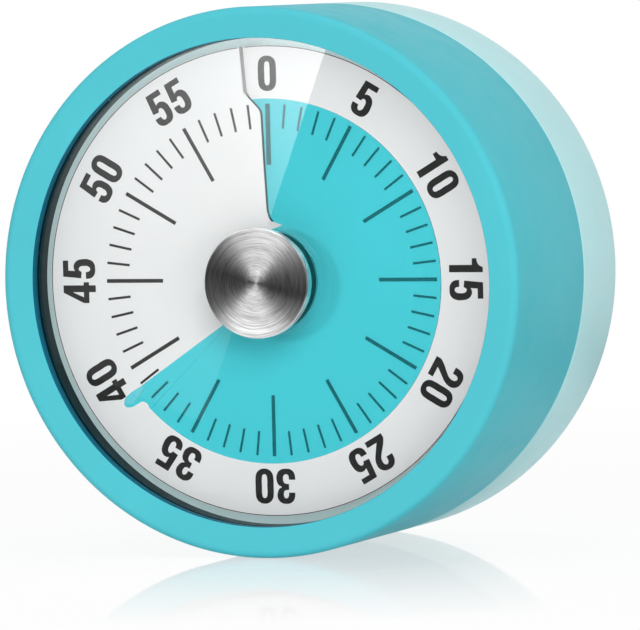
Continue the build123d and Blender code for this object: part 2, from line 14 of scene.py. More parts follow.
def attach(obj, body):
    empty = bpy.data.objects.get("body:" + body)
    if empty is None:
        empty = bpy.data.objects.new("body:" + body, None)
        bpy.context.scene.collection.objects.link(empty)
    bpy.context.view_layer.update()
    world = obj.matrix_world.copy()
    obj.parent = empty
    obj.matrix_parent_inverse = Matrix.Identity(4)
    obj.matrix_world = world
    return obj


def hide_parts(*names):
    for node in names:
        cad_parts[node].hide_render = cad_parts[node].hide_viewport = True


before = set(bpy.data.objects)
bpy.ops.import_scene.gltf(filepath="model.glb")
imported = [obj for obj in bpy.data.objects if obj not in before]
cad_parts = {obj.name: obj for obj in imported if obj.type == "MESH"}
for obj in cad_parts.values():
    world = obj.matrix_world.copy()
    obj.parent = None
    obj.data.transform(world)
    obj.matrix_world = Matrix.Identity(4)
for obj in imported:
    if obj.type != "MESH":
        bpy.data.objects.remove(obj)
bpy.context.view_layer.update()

logging.basicConfig(level=logging.INFO, format="%(name)s %(message)s")
log = logging.getLogger("timer")

Colour = tuple[float, float, float]
Profile = Sequence[tuple[float, float]]
Contour = Sequence[tuple[float, ...]]
Place = tuple[float, float, float]
Socket = bpy.types.NodeSocket

WHITE = (1.0, 1.0, 1.0, 1.0)
SHARP_DEGREES = 32.0
NEAR = 1e-3


def rgba(colour: Colour) -> tuple[float, ...]:
    """Returns a colour with full alpha."""
    return (*colour, 1.0)


class Body(Enum):
    """The moving bodies of the frame that new pieces ride on."""

    CASE = "case"
    WINDER = "winder"
    DISC = "time_disc_body"


class Slot(Enum):
    """The record's material slots."""

    SHELL = "turquoise_shell"
    BACK = "pale_shell"
    SCREW = "screw_steel"
    MAGNET = "magnet"
    GASKET = "dark_ring"
    LENS = "clear_lens"
    SPACER = "black_ring"
    CARRIER = "carrier_grey"
    DIAL = "dial_white"
    FILM = "turquoise_film"
    KNOB = "turned_metal"
    HUB = "hub_black"
    ARBOR = "arbor_steel"
    SPRING = "spring_steel"
    BRASS = "wheel_brass"
    PLATE = "plate_steel"
    BELL = "bell_nickel"


@dataclass(frozen=True)
class Drum:
    """Sizes that several sub-assemblies share, in millimetres in the drum's own axes.

    The dial faces +z with its bezel's front at zero, +y points to twelve and +x to three.
    """

    radius: float = 40.0
    depth: float = 46.0
    seam: float = 30.0
    wall: float = 2.4
    bezel_inner: float = 35.5
    bore: float = 36.6
    lip: float = 0.8
    ring_outer: float = 36.5
    lens_front: float = -2.4
    lens_back: float = -3.6
    flange_top: float = -6.6
    floor_back: float = -9.6
    knob_proud: float = 0.1
    dial_inner: float = 7.4
    dial_low: float = -6.4
    film_low: float = -5.85
    pitch: float = 1.2
    rest: float = 233.4
    steps: int = 192
    climb_steps: int = 240

    def to_row(self) -> Matrix:
        """Returns the matrix from the drum's millimetres to the row frame's metres."""
        turn = Matrix.Rotation(math.radians(90.0), 4, "X")
        shift = Matrix.Translation((0.0, (self.knob_proud - self.depth) / 2000.0, self.radius / 1000.0))
        return shift @ turn @ Matrix.Scale(0.001, 4)

    def clock(self, radius: float, angle: float) -> Vector:
        """Returns the point at that radius and clock angle in degrees."""
        turn = math.radians(angle)
        return Vector((radius * math.sin(turn), radius * math.cos(turn), 0.0))

    def angle(self, place: Sequence[float]) -> float:
        """Returns the clock angle of a place in degrees, from -180 to 180."""
        return math.degrees(math.atan2(place[0], place[1]))

    def from_twelve(self, angle: float) -> Matrix:
        """Returns the matrix that turns a shape at twelve to that clock angle."""
        return Matrix.Rotation(-math.radians(angle), 4, "Z")

    def climb(self, low: float, angle: float) -> float:
        """Returns the height of a climbing sheet that is at low at twelve, at that clock angle."""
        return low + self.pitch * angle / 360.0

    def row_y(self, height: float) -> float:
        """Returns the row frame's y of a height in the drum."""
        return ((self.knob_proud - self.depth) / 2.0 - height) / 1000.0


DRUM = Drum()


class Form:
    """A mesh under construction in the drum's axes and millimetres."""

    def __init__(self) -> None:
        """Starts with an empty mesh."""
        self.bm = bmesh.new()

    def chain(self, points: Iterable[Sequence[float]], closed: bool = False) -> list:
        """Adds a row of edges.

        Args:
            points: places of the row's vertices.
            closed: whether the last vertex joins the first.

        Returns:
            The new vertices and edges, ready for an operator.
        """
        verts = [self.bm.verts.new(point) for point in points]
        pairs = list(zip(verts, verts[1:]))
        if closed:
            pairs.append((verts[-1], verts[0]))
        return verts + [self.bm.edges.new(pair) for pair in pairs]

    def turn(self, profile: Profile, steps: int = DRUM.steps) -> "Form":
        """Spins a closed profile of radius and height round the drum's axis.

        Args:
            profile: corners as radius and height.
            steps: number of segments in the full turn.

        Returns:
            This form.
        """
        geom = self.chain([(radius, 0.0, height) for radius, height in profile], closed=True)
        bmesh.ops.spin(
            self.bm, geom=geom, cent=(0, 0, 0), axis=(0, 0, 1), angle=math.tau, steps=steps, use_merge=True
        )
        bmesh.ops.remove_doubles(self.bm, verts=self.bm.verts[:], dist=1e-4)
        bmesh.ops.dissolve_degenerate(self.bm, edges=self.bm.edges[:], dist=1e-5)
        return self

    def ring(self, inner: float, outer: float, low: float, high: float, steps: int = DRUM.steps) -> "Form":
        """Adds a ring of square section.

        Args:
            inner: its inside radius.
            outer: its outside radius.
            low: height of its back.
            high: height of its front.
            steps: number of segments in the full turn.

        Returns:
            This form.
        """
        return self.turn([(inner, low), (outer, low), (outer, high), (inner, high)], steps)

    def soften(self, radius: float, height: float, width: float, segments: int = 4) -> "Form":
        """Rounds the ring edge at one corner of a turned profile.

        Args:
            radius: the corner's radius.
            height: the corner's height.
            width: size of the round.
            segments: number of strips in the round.

        Returns:
            This form.
        """
        def at_corner(place: Vector) -> bool:
            """Tells whether a place is on the corner's ring."""
            return abs(place.xy.length - radius) < NEAR and abs(place.z - height) < NEAR

        return self.bevel(at_corner, width, segments)

    def bevel(self, chosen: Callable[[Vector], bool], width: float, segments: int) -> "Form":
        """Rounds every edge whose two ends are in chosen places.

        Args:
            chosen: tells whether a place is chosen.
            width: size of the round.
            segments: number of strips in the round.

        Returns:
            This form.
        """
        edges = [edge for edge in self.bm.edges if all(chosen(vert.co) for vert in edge.verts)]
        bmesh.ops.bevel(
            self.bm, geom=edges, offset=width, offset_type="OFFSET", affect="EDGES", segments=segments,
            profile=0.5, material=-1, clamp_overlap=True,
        )
        return self

    def sweep_down(self, edge: Sequence[Vector], arc: float, steps: int) -> "Form":
        """Spins an edge anticlockwise while it sinks at the drum's pitch, which leaves a climbing sheet.

        Args:
            edge: points of the sheet's raised edge, already at their heights.
            arc: the sheet's arc in degrees.
            steps: number of segments.

        Returns:
            This form.
        """
        geom = self.chain(edge)
        drop = -DRUM.pitch * arc / 360.0 / steps
        bmesh.ops.spin(
            self.bm, geom=geom, cent=(0, 0, 0), axis=(0, 0, 1), dvec=(0, 0, drop), angle=math.radians(arc),
            steps=steps, use_merge=False,
        )
        return self

    def thicken(self, depth: float) -> "Form":
        """Gives every face so far a thickness downwards."""
        grown = bmesh.ops.extrude_face_region(self.bm, geom=self.bm.faces[:], use_keep_orig=True)["geom"]
        return self.sink(grown, depth)

    def sink(self, made: Iterable, depth: float) -> "Form":
        """Moves the vertices among an operator's results down by a depth."""
        verts = [item for item in made if isinstance(item, bmesh.types.BMVert)]
        bmesh.ops.translate(self.bm, verts=verts, vec=(0, 0, -depth))
        return self

    def take(self, mesh: bpy.types.Mesh) -> "Form":
        """Adds a mesh to the form and removes the mesh itself."""
        self.bm.from_mesh(mesh)
        bpy.data.meshes.remove(mesh)
        return self

    def merge_flat(self) -> "Form":
        """Joins neighbouring faces that lie in one plane."""
        bmesh.ops.dissolve_limit(
            self.bm, angle_limit=0.01, verts=self.bm.verts[:], edges=self.bm.edges[:],
            use_dissolve_boundaries=False,
        )
        return self

    def rod(self, radius: float, low: float, high: float, at: Vector, segments: int = 48) -> "Form":
        """Adds a round bar that stands along the drum's axis.

        Args:
            radius: the bar's radius.
            low: height of its lower end.
            high: height of its upper end.
            at: place of its middle across the axis.
            segments: number of its sides.

        Returns:
            This form.
        """
        place = Matrix.Translation((at.x, at.y, (low + high) / 2.0))
        bmesh.ops.create_cone(
            self.bm, cap_ends=True, segments=segments, radius1=radius, radius2=radius, depth=high - low,
            matrix=place,
        )
        return self

    def object(self, name: str, sharp: float = SHARP_DEGREES) -> bpy.types.Object:
        """Moves the mesh to the row frame and makes an object of it.

        Args:
            name: the object's name.
            sharp: angle in degrees above which an edge shades sharp.

        Returns:
            The new object, linked to the scene.
        """
        bmesh.ops.recalc_face_normals(self.bm, faces=self.bm.faces[:])
        self.bm.transform(DRUM.to_row())
        mesh = bpy.data.meshes.new(name)
        self.bm.to_mesh(mesh)
        self.bm.free()
        mesh.shade_smooth()
        mesh.set_sharp_from_angle(angle=math.radians(sharp))
        piece = bpy.data.objects.new(name, mesh)
        bpy.context.scene.collection.objects.link(piece)
        return piece


def flat_shape(
    name: str, contours: Sequence[Contour], resolution: int = 8, swell: float = 0.0
) -> bpy.types.Mesh:
    """Fills closed outlines.

    Args:
        name: the mesh's name.
        contours: outlines of x and y; a point with a third value is smooth.
        resolution: number of pieces that each span between two points gets.
        swell: distance by which the outlines grow; a hole is given anticlockwise.

    Returns:
        The flat mesh.
    """
    curve = bpy.data.curves.new(name, "CURVE")
    curve.dimensions, curve.fill_mode, curve.resolution_u = "2D", "BOTH", resolution
    curve.offset = swell
    for contour in contours:
        spline = curve.splines.new("BEZIER")
        spline.use_cyclic_u = True
        spline.bezier_points.add(len(contour) - 1)
        for knot, point in zip(spline.bezier_points, contour):
            knot.co = (point[0], point[1], 0.0)
            knot.handle_left_type = knot.handle_right_type = "AUTO" if len(point) == 3 else "VECTOR"
    holder = bpy.data.objects.new(name, curve)
    mesh = bpy.data.meshes.new_from_object(holder)
    bpy.data.objects.remove(holder)
    bpy.data.curves.remove(curve)
    return mesh


def carve(piece: bpy.types.Object, cutter: Form) -> None:
    """Cuts a form out of a piece and keeps the result in the piece's mesh.

    Args:
        piece: the object that is cut.
        cutter: the form that is taken away.
    """
    tool = cutter.object(piece.name + "_cutter")
    cut = piece.modifiers.new("cut", "BOOLEAN")
    cut.operation, cut.solver, cut.object = "DIFFERENCE", "EXACT", tool
    graph = bpy.context.evaluated_depsgraph_get()
    made = bpy.data.meshes.new_from_object(piece.evaluated_get(graph))
    piece.modifiers.remove(cut)
    piece.data = made
    bpy.data.objects.remove(tool)
    made.set_sharp_from_angle(angle=math.radians(SHARP_DEGREES))


def pass_light(piece: bpy.types.Object) -> bpy.types.Object:
    """Lets light through a clear piece as if it weren't there, and returns the piece."""
    piece.visible_shadow = piece.visible_diffuse = False
    return piece


class Graph:
    """Short calls that add and join the nodes of one tree."""

    def __init__(self, tree: bpy.types.NodeTree) -> None:
        """Takes the tree that the nodes go into."""
        self.tree = tree

    def add(self, kind: str, inputs: dict | None = None, **settings: object) -> bpy.types.Node:
        """Adds a node.

        Args:
            kind: the node's type without its ShaderNode prefix.
            inputs: a value or a socket for each named or numbered input.
            settings: the node's own properties.

        Returns:
            The new node.
        """
        node = self.tree.nodes.new("ShaderNode" + kind)
        for name, value in settings.items():
            setattr(node, name, value)
        for key, value in (inputs or {}).items():
            self.feed(node.inputs[key], value)
        return node

    def feed(self, socket: Socket, value: object) -> None:
        """Links a socket into an input, or sets the input's own value."""
        if isinstance(value, Socket):
            self.tree.links.new(value, socket)
        else:
            socket.default_value = value

    def math(self, operation: str, first: object, second: object = 0.0) -> Socket:
        """Returns the result of one arithmetic node."""
        return self.add("Math", {0: first, 1: second}, operation=operation).outputs[0]

    def times(self, first: object, second: object) -> Socket:
        """Returns the product of two values."""
        return self.math("MULTIPLY", first, second)

    def span(self, value: object, low: float, high: float, to_low: float, to_high: float) -> Socket:
        """Returns a value mapped from one range to another."""
        return self.add("MapRange", {0: value, 1: low, 2: high, 3: to_low, 4: to_high}).outputs[0]

    def spot(self) -> Socket:
        """Returns the Object coordinates."""
        return self.add("TexCoord").outputs["Object"]

    def axis(self, place: Socket, letter: str) -> Socket:
        """Returns one coordinate of a place."""
        return self.add("SeparateXYZ", {0: place}).outputs[letter]

    def length(self, place: Socket) -> Socket:
        """Returns the distance of a place from the origin."""
        return self.add("VectorMath", {0: place}, operation="LENGTH").outputs["Value"]

    def stretch(self, place: Socket, factors: object) -> Socket:
        """Returns a place with each coordinate times its own factor."""
        return self.add("VectorMath", {0: place, 1: factors}, operation="MULTIPLY").outputs[0]

    def noise(self, scale: object, detail: float, space: str = "3D", **inputs: object) -> Socket:
        """Returns a noise.

        Args:
            scale: its scale.
            detail: the number of finer layers in it.
            space: the number of its dimensions.
            inputs: its Vector, its W or both.

        Returns:
            The noise's value.
        """
        inputs.update(Scale=scale, Detail=detail)
        return self.add("TexNoise", inputs, noise_dimensions=space).outputs[0]

    def mix(self, factor: object, first: object, second: object, kind: str = "MIX") -> Socket:
        """Returns the mix of two colours."""
        node = self.add("Mix", {0: factor, 6: first, 7: second}, data_type="RGBA", blend_type=kind)
        return node.outputs[2]

    def shade(self, colour: object, value: object) -> Socket:
        """Returns a colour made lighter or darker by a factor."""
        return self.add("HueSaturation", {"Color": colour, "Value": value}).outputs[0]

    def matte(self, colour: object) -> Socket:
        """Returns a diffuse shader."""
        return self.add("BsdfDiffuse", {"Color": colour}).outputs[0]

    def glow(self, strength: object) -> Socket:
        """Returns a white emission."""
        return self.add("Emission", {"Color": WHITE, "Strength": strength}).outputs[0]

    def blend(self, share: object, first: Socket, second: Socket) -> Socket:
        """Returns the mix of two shaders."""
        return self.add("MixShader", {0: share, 1: first, 2: second}).outputs[0]


class Effects:
    """Node groups that several finishes share; they give colours, masks and heights only."""

    def __init__(self) -> None:
        """Makes the groups."""
        self.skin = self._skin()
        self.strokes = self._strokes()
        self.rings = self._rings()

    @staticmethod
    def _open(name: str, inputs: dict[str, str], outputs: dict[str, str]) -> tuple[Graph, dict, dict]:
        """Starts a group.

        Args:
            name: the group's name.
            inputs: the type of each named input, without its NodeSocket prefix.
            outputs: the type of each named output.

        Returns:
            The graph, the input sockets by name, and the output sockets by name.
        """
        tree = bpy.data.node_groups.new(name, "ShaderNodeTree")
        for way, sockets in (("INPUT", inputs), ("OUTPUT", outputs)):
            for label, kind in sockets.items():
                tree.interface.new_socket(name=label, in_out=way, socket_type="NodeSocket" + kind)
        source = tree.nodes.new("NodeGroupInput")
        sink = tree.nodes.new("NodeGroupOutput")
        return Graph(tree), {s.name: s for s in source.outputs}, {s.name: s for s in sink.inputs}

    def _skin(self) -> bpy.types.NodeTree:
        """Returns the group for a moulded skin: soft mottle, fine grain and a few handling marks."""
        graph, take, give = self._open(
            "moulded_skin",
            {"Vector": "Vector", "Colour": "Color", "Mottle": "Float", "Grain": "Float"},
            {"Colour": "Color", "Gloss": "Float", "Height": "Float"},
        )
        broad = graph.noise(scale=38.0, detail=3.0, Vector=take["Vector"])
        fine = graph.noise(scale=take["Grain"], detail=2.0, Vector=take["Vector"])
        rub = graph.noise(scale=260.0, detail=5.0, Vector=take["Vector"])
        mottle = graph.times(graph.span(broad, 0.3, 0.7, -1.0, 1.0), take["Mottle"])
        graph.feed(give["Colour"], graph.shade(take["Colour"], graph.math("ADD", mottle, 1.0)))
        graph.feed(give["Gloss"], graph.span(rub, 0.42, 0.75, 0.0, 1.0))
        graph.feed(give["Height"], fine)
        return graph.tree

    def _strokes(self) -> bpy.types.NodeTree:
        """Returns the group for drawn or stamped metal: long strokes, stains and a height."""
        graph, take, give = self._open(
            "metal_strokes",
            {"Vector": "Vector", "Colour": "Color", "Stretch": "Vector"},
            {"Colour": "Color", "Gloss": "Float", "Height": "Float"},
        )
        lines = graph.noise(scale=4200.0, detail=3.0, Vector=graph.stretch(take["Vector"], take["Stretch"]))
        stain = graph.noise(scale=190.0, detail=4.0, Vector=take["Vector"])
        dark = graph.mix(1.0, take["Colour"], rgba((0.72, 0.69, 0.66)), "MULTIPLY")
        graph.feed(give["Colour"], graph.mix(graph.span(stain, 0.45, 0.75, 0.0, 0.7), take["Colour"], dark))
        graph.feed(give["Gloss"], graph.times(graph.math("ADD", lines, stain), 0.5))
        graph.feed(give["Height"], lines)
        return graph.tree

    def _rings(self) -> bpy.types.NodeTree:
        """Returns the group for a turned face: fine circles round the drum's axis."""
        graph, take, give = self._open(
            "turned_rings",
            {"Vector": "Vector", "Pitch": "Float"},
            {"Shade": "Float", "Height": "Float", "Radius": "Float"},
        )
        flat = graph.stretch(take["Vector"], (1.0, 0.0, 1.0))
        radius = graph.length(flat)
        turns = graph.times(radius, take["Pitch"])
        way = graph.add("VectorMath", {0: flat}, operation="NORMALIZE").outputs[0]
        arcs = graph.noise(1.0, 2.0, "4D", Vector=graph.stretch(way, (2.2, 2.2, 2.2)), W=turns)
        fine = graph.noise(1.0, 3.0, "1D", W=turns)
        wide = graph.noise(0.12, 2.0, "1D", W=turns)
        mixed = graph.math("ADD", graph.math("ADD", fine, wide), graph.times(arcs, 2.0))
        graph.feed(give["Shade"], graph.times(mixed, 0.25))
        graph.feed(give["Height"], fine)
        graph.feed(give["Radius"], radius)
        return graph.tree


class Finish:
    """The start of every material: a Principled shader, and coordinates centred on the drum's axis."""

    def __init__(self, slot: Slot, suffix: str = "") -> None:
        """Makes an empty material named after its slot."""
        self.material = bpy.data.materials.new(slot.value + suffix)
        self.material.use_nodes = True
        self.graph = Graph(self.material.node_tree)
        self.shader = self.material.node_tree.nodes["Principled BSDF"]
        centre = (0.0, 0.0, -DRUM.radius / 1000.0)
        self.place = self.graph.add("Mapping", {"Vector": self.graph.spot(), "Location": centre}).outputs[0]

    def set(self, **values: object) -> "Finish":
        """Sets or links inputs of the shader, with underscores for the spaces in their names."""
        for name, value in values.items():
            self.graph.feed(self.shader.inputs[name.replace("_", " ")], value)
        return self

    def group(self, tree: bpy.types.NodeTree, **inputs: object) -> bpy.types.Node:
        """Adds one of the shared groups, fed with the centred coordinates."""
        return self.graph.add("Group", {"Vector": self.place, **inputs}, node_tree=tree)

    def skin(
        self, effects: Effects, colour: object, mottle: float, grain: float, rough: tuple[float, float]
    ) -> Socket:
        """Adds the moulded skin, and links its colour and its roughness.

        Args:
            effects: the shared groups.
            colour: the skin's colour, or a socket that gives it.
            mottle: strength of the soft mottle.
            grain: scale of the fine grain.
            rough: the roughness of the clean skin and that of its handling marks.

        Returns:
            The skin's height.
        """
        node = self.group(effects.skin, Colour=colour, Mottle=mottle, Grain=grain)
        gloss = self.graph.span(node.outputs["Gloss"], 0.0, 1.0, *rough)
        self.set(Base_Color=node.outputs["Colour"], Roughness=gloss)
        return node.outputs["Height"]

    def bump(self, height: Socket, distance: float, strength: float) -> "Finish":
        """Adds a bump of that height in metres and strength."""
        node = self.graph.add("Bump", {"Height": height, "Distance": distance, "Strength": strength})
        return self.set(Normal=node.outputs[0])


@dataclass(frozen=True)
class Moulded:
    """A moulded plastic or a printed ink."""

    slot: Slot
    colour: Colour
    rough: float
    mottle: float = 0.04
    grain: float = 2600.0
    depth: float = 4e-6
    shine: float = 0.5
    rubbed: float = 0.09
    relief: float = 0.35
    suffix: str = ""

    def make(self, effects: Effects) -> bpy.types.Material:
        """Returns the material."""
        finish = Finish(self.slot, self.suffix).set(Specular_IOR_Level=self.shine)
        rough = (self.rough, self.rough + self.rubbed)
        height = finish.skin(effects, rgba(self.colour), self.mottle, self.grain, rough)
        return finish.bump(height, self.depth, self.relief).material


@dataclass(frozen=True)
class DeepRing:
    """A glossy ring whose colour darkens from its front edge to its back edge: painted shade of the recess.
    """

    slot: Slot
    front: Colour
    back: Colour
    high: float
    low: float
    shine: float
    rough: tuple[float, float] = (0.30, 0.38)
    mottle: float = 0.08
    grain: float = 2200.0
    depth: float = 3e-6
    relief: float = 0.3

    def make(self, effects: Effects) -> bpy.types.Material:
        """Returns the material."""
        finish = Finish(self.slot).set(Specular_IOR_Level=self.shine)
        # The colour goes darker with depth into the recess, which paints the recess's shade.
        depth = finish.graph.axis(finish.place, "Y")
        share = finish.graph.span(depth, DRUM.row_y(self.high), DRUM.row_y(self.low), 0.0, 1.0)
        tone = finish.graph.mix(share, rgba(self.front), rgba(self.back))
        height = finish.skin(effects, tone, self.mottle, self.grain, self.rough)
        return finish.bump(height, self.depth, self.relief).material


@dataclass(frozen=True)
class DrawnMetal:
    """A stamped, drawn or plated metal."""

    slot: Slot
    colour: Colour
    rough: float
    stretch: tuple[float, float, float] = (1.0, 1.0, 0.06)
    worn: float = 0.22
    depth: float = 3e-6
    relief: float = 0.3

    def make(self, effects: Effects) -> bpy.types.Material:
        """Returns the material."""
        finish = Finish(self.slot)
        strokes = finish.group(effects.strokes, Colour=rgba(self.colour), Stretch=self.stretch)
        rough = finish.graph.span(strokes.outputs["Gloss"], 0.25, 0.75, self.rough, self.rough + self.worn)
        finish.set(Base_Color=strokes.outputs["Colour"], Roughness=rough, Metallic=1.0)
        return finish.bump(strokes.outputs["Height"], self.depth, self.relief).material


@dataclass(frozen=True)
class TurnedFace:
    """Bare aluminium with the fine circles that a lathe leaves, darkened towards its centre as painted
    shade.
    """

    slot: Slot = Slot.KNOB
    colour: Colour = (0.95, 0.95, 0.95)
    pitch: float = 9000.0
    shades: tuple[float, ...] = (0.39, 0.61, 0.36, 1.0)
    roughs: tuple[float, ...] = (0.36, 0.64, 0.44, 0.30)
    brushed: float = 0.96
    groove: float = 0.264
    swirl: float = 0.0024
    blur: float = 0.4
    dull: float = 0.76
    depth: float = 4e-6
    relief: float = 0.3

    def make(self, effects: Effects) -> bpy.types.Material:
        """Returns the material."""
        finish = Finish(self.slot)
        graph = finish.graph
        rings = finish.group(effects.rings, Pitch=self.pitch)
        mask, radius = rings.outputs["Shade"], rings.outputs["Radius"]
        # The base colour darkens towards the lathe centre: painted shade.
        dull = graph.span(radius, 0.0, self.swirl, self.dull, 1.0)
        tone = graph.shade(rgba(self.colour), graph.times(graph.span(mask, *self.shades), dull))
        blur = graph.span(radius, 0.0, self.swirl, self.blur, 0.0)
        rough = graph.math("ADD", graph.span(mask, *self.roughs), blur)
        round_axis = graph.add("Tangent", direction_type="RADIAL", axis="Y").outputs[0]
        finish.set(Base_Color=tone, Roughness=rough, Metallic=1.0, Tangent=round_axis)
        finish.set(Anisotropic=self.brushed, Anisotropic_Rotation=self.groove)
        return finish.bump(rings.outputs["Height"], self.depth, self.relief).material


@dataclass(frozen=True)
class ClearSheet:
    """A clear or tinted sheet that light goes through."""

    slot: Slot
    colour: Colour
    rough: float
    clear: float
    index: float = 1.45
    suffix: str = ""
    mottle: float = 0.012
    grain: float = 900.0
    rubbed: float = 0.02

    def make(self, effects: Effects) -> bpy.types.Material:
        """Returns the material."""
        finish = Finish(self.slot, self.suffix)
        rough = (self.rough, self.rough + self.rubbed)
        finish.skin(effects, rgba(self.colour), self.mottle, self.grain, rough)
        return finish.set(IOR=self.index, Metallic=0.0, Transmission_Weight=self.clear).material


class Palette:
    """Every finish of the timer, made once and looked up by slot."""

    def __init__(self) -> None:
        """Makes the materials."""
        effects = Effects()
        recipes = [
            Moulded(Slot.SHELL, (0.085, 0.53, 0.605), 0.46, mottle=0.03, shine=0.08),
            Moulded(Slot.BACK, (0.46, 0.76, 0.785), 0.42, mottle=0.03, shine=0.5),
            Moulded(Slot.MAGNET, (0.022, 0.022, 0.024), 0.55, mottle=0.3, grain=1500.0, depth=9e-5),
            # The gasket and the spacer darken towards their back edges: painted shade of the recess.
            DeepRing(
                Slot.GASKET, (0.001, 0.15, 0.25), (0.001, 0.085, 0.135), -DRUM.lip, DRUM.lens_front,
                shine=0.03,
            ),
            DeepRing(
                Slot.SPACER, (0.001, 0.016, 0.021), (0.001, 0.010, 0.012), DRUM.lens_back, DRUM.flange_top,
                shine=0.07,
            ),
            Moulded(Slot.CARRIER, (0.58, 0.76, 0.77), 0.42, mottle=0.05, shine=0.3),
            Moulded(Slot.DIAL, (0.83, 0.84, 0.84), 0.45, mottle=0.012, grain=1400.0),
            Moulded(Slot.HUB, (0.001, 0.055, 0.06), 0.4, mottle=0.1, shine=0.05),
            ClearSheet(Slot.LENS, (0.985, 0.99, 0.99), 0.0, 1.0),
            ClearSheet(Slot.FILM, (0.095, 0.76, 0.85), 0.02, 0.9, 1.4),
            TurnedFace(),
            DrawnMetal(Slot.SCREW, (0.62, 0.62, 0.63), 0.28),
            DrawnMetal(Slot.ARBOR, (0.58, 0.58, 0.60), 0.22, (1.0, 0.06, 1.0)),
            DrawnMetal(Slot.SPRING, (0.24, 0.26, 0.30), 0.26),
            DrawnMetal(Slot.BRASS, (0.78, 0.57, 0.24), 0.26),
            DrawnMetal(Slot.PLATE, (0.60, 0.60, 0.61), 0.34),
            DrawnMetal(Slot.BELL, (0.78, 0.75, 0.70), 0.12, (1.0, 1.0, 1.0)),
        ]
        self.by_slot = {recipe.slot: recipe.make(effects) for recipe in recipes}
        ink = Moulded(
            Slot.DIAL, (0.022, 0.021, 0.021), 0.5, mottle=0.25, grain=5200.0, depth=2e-6, rubbed=0.12,
            relief=0.3, suffix="_ink",
        )
        self.ink = ink.make(effects)
        # A grey copy of the ink for the step's strip, which paints shade.
        self.step = replace(ink, colour=(0.36, 0.36, 0.36), suffix="_step").make(effects)
        # The grip is tinted paler than the film: partly its own tint, partly painted highlight on the tab.
        self.grip = ClearSheet(Slot.FILM, (0.34, 0.86, 0.92), 0.12, 0.75, 1.45, "_grip").make(effects)

    def paint(self, piece: bpy.types.Object, slot: Slot, finish: bpy.types.Material | None = None) -> None:
        """Gives a piece the material of its slot, or one of its own."""
        piece.data.materials.clear()
        piece.data.materials.append(finish or self.by_slot[slot])

    def settle(
        self, piece: bpy.types.Object, body: Body, slot: Slot, *nodes: str,
        finish: bpy.types.Material | None = None,
    ) -> None:
        """Gives a piece its body and its material, and hides the CAD nodes that it stands for.

        Args:
            piece: the new object.
            body: the body that it rides on.
            slot: the record's slot that its finish comes from.
            nodes: the CAD nodes that it stands for.
            finish: its material, where that isn't the slot's own.
        """
        self.paint(piece, slot, finish)
        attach(piece, body.value)
        if nodes:
            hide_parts(*nodes)
        log.info("%s: %d faces", piece.name, len(piece.data.polygons))


@dataclass
class CaseShell:
    """The turquoise front housing and the paler back cover with its screw wells and magnet pocket."""

    bezel_round: float = 1.3
    dish: float = 0.72
    seam_round: float = 0.25
    cover_round: float = 0.7
    back_round: float = 1.5
    back_wall: float = 2.4
    spigot: float = 3.0
    spigot_wall: float = 1.5
    post_circle: float = 33.0
    post_radius: float = 2.8
    well_radius: float = 2.3
    well_depth: float = 2.0
    pocket_radius: float = 12.1
    pocket_depth: float = 2.6
    pocket_wall: float = 1.5
    pillar_radius: float = 3.5
    pillar_top: float = -40.5
    post_bearings: tuple[float, ...] = (0.0, 120.0, 240.0)
    fit: float = 0.1
    overshoot: float = 1.0
    sharp: float = 50.0

    def housing(self) -> bpy.types.Object:
        """Returns the front housing with its bezel."""
        drum, inner = DRUM, DRUM.radius - DRUM.wall
        form = Form().turn(
            [(drum.bezel_inner, -self.dish), (drum.radius, 0.0), (drum.radius, -drum.seam),
             (inner, -drum.seam), (inner, drum.floor_back), (drum.bore, drum.floor_back),
             (drum.bore, -drum.lip), (drum.bezel_inner, -drum.lip)]
        )
        form.soften(drum.radius, 0.0, self.bezel_round, segments=8)
        form.soften(drum.radius, -drum.seam, self.seam_round, segments=3)
        return form.object("case_front", self.sharp)

    def cover(self) -> bpy.types.Object:
        """Returns the back cover with its posts, screw wells and magnet pocket."""
        drum, inner = DRUM, DRUM.radius - DRUM.wall
        out, back = inner - self.fit, -drum.depth
        deep, floor = out - self.spigot_wall, back + self.back_wall
        form = Form().turn(
            [(drum.radius, -drum.seam), (drum.radius, back), (0.0, back), (0.0, floor), (inner, floor),
             (inner, -drum.seam - 2.0 * self.spigot_wall), (deep, -drum.seam - self.spigot_wall),
             (deep, -drum.seam + self.spigot), (out, -drum.seam + self.spigot), (out, -drum.seam)]
        )
        form.soften(drum.radius, back, self.back_round, segments=6)
        form.soften(drum.radius, -drum.seam, self.cover_round, segments=3)
        inside, root = back + self.pocket_depth, back + self.back_wall / 2.0
        form.rod(self.pocket_radius + drum.wall, root, inside + self.pocket_wall, Vector(), segments=96)
        form.rod(self.pillar_radius, inside + self.pocket_wall / 2.0, self.pillar_top, Vector())
        wells = Form().rod(self.pocket_radius, back - self.overshoot, inside, Vector(), segments=128)
        for angle in self.post_bearings:
            at = drum.clock(self.post_circle, angle)
            form.rod(self.post_radius, root, -drum.seam - self.fit, at)
            wells.rod(self.well_radius, back - self.overshoot, back + self.well_depth, at)
        piece = form.object("case_back", self.sharp)
        carve(piece, wells)
        return piece

    def dress(self, palette: Palette) -> None:
        """Builds the shell's pieces and gives them their finishes."""
        palette.settle(self.housing(), Body.CASE, Slot.SHELL, "front_housing")
        palette.settle(self.cover(), Body.CASE, Slot.BACK, "back_cover")


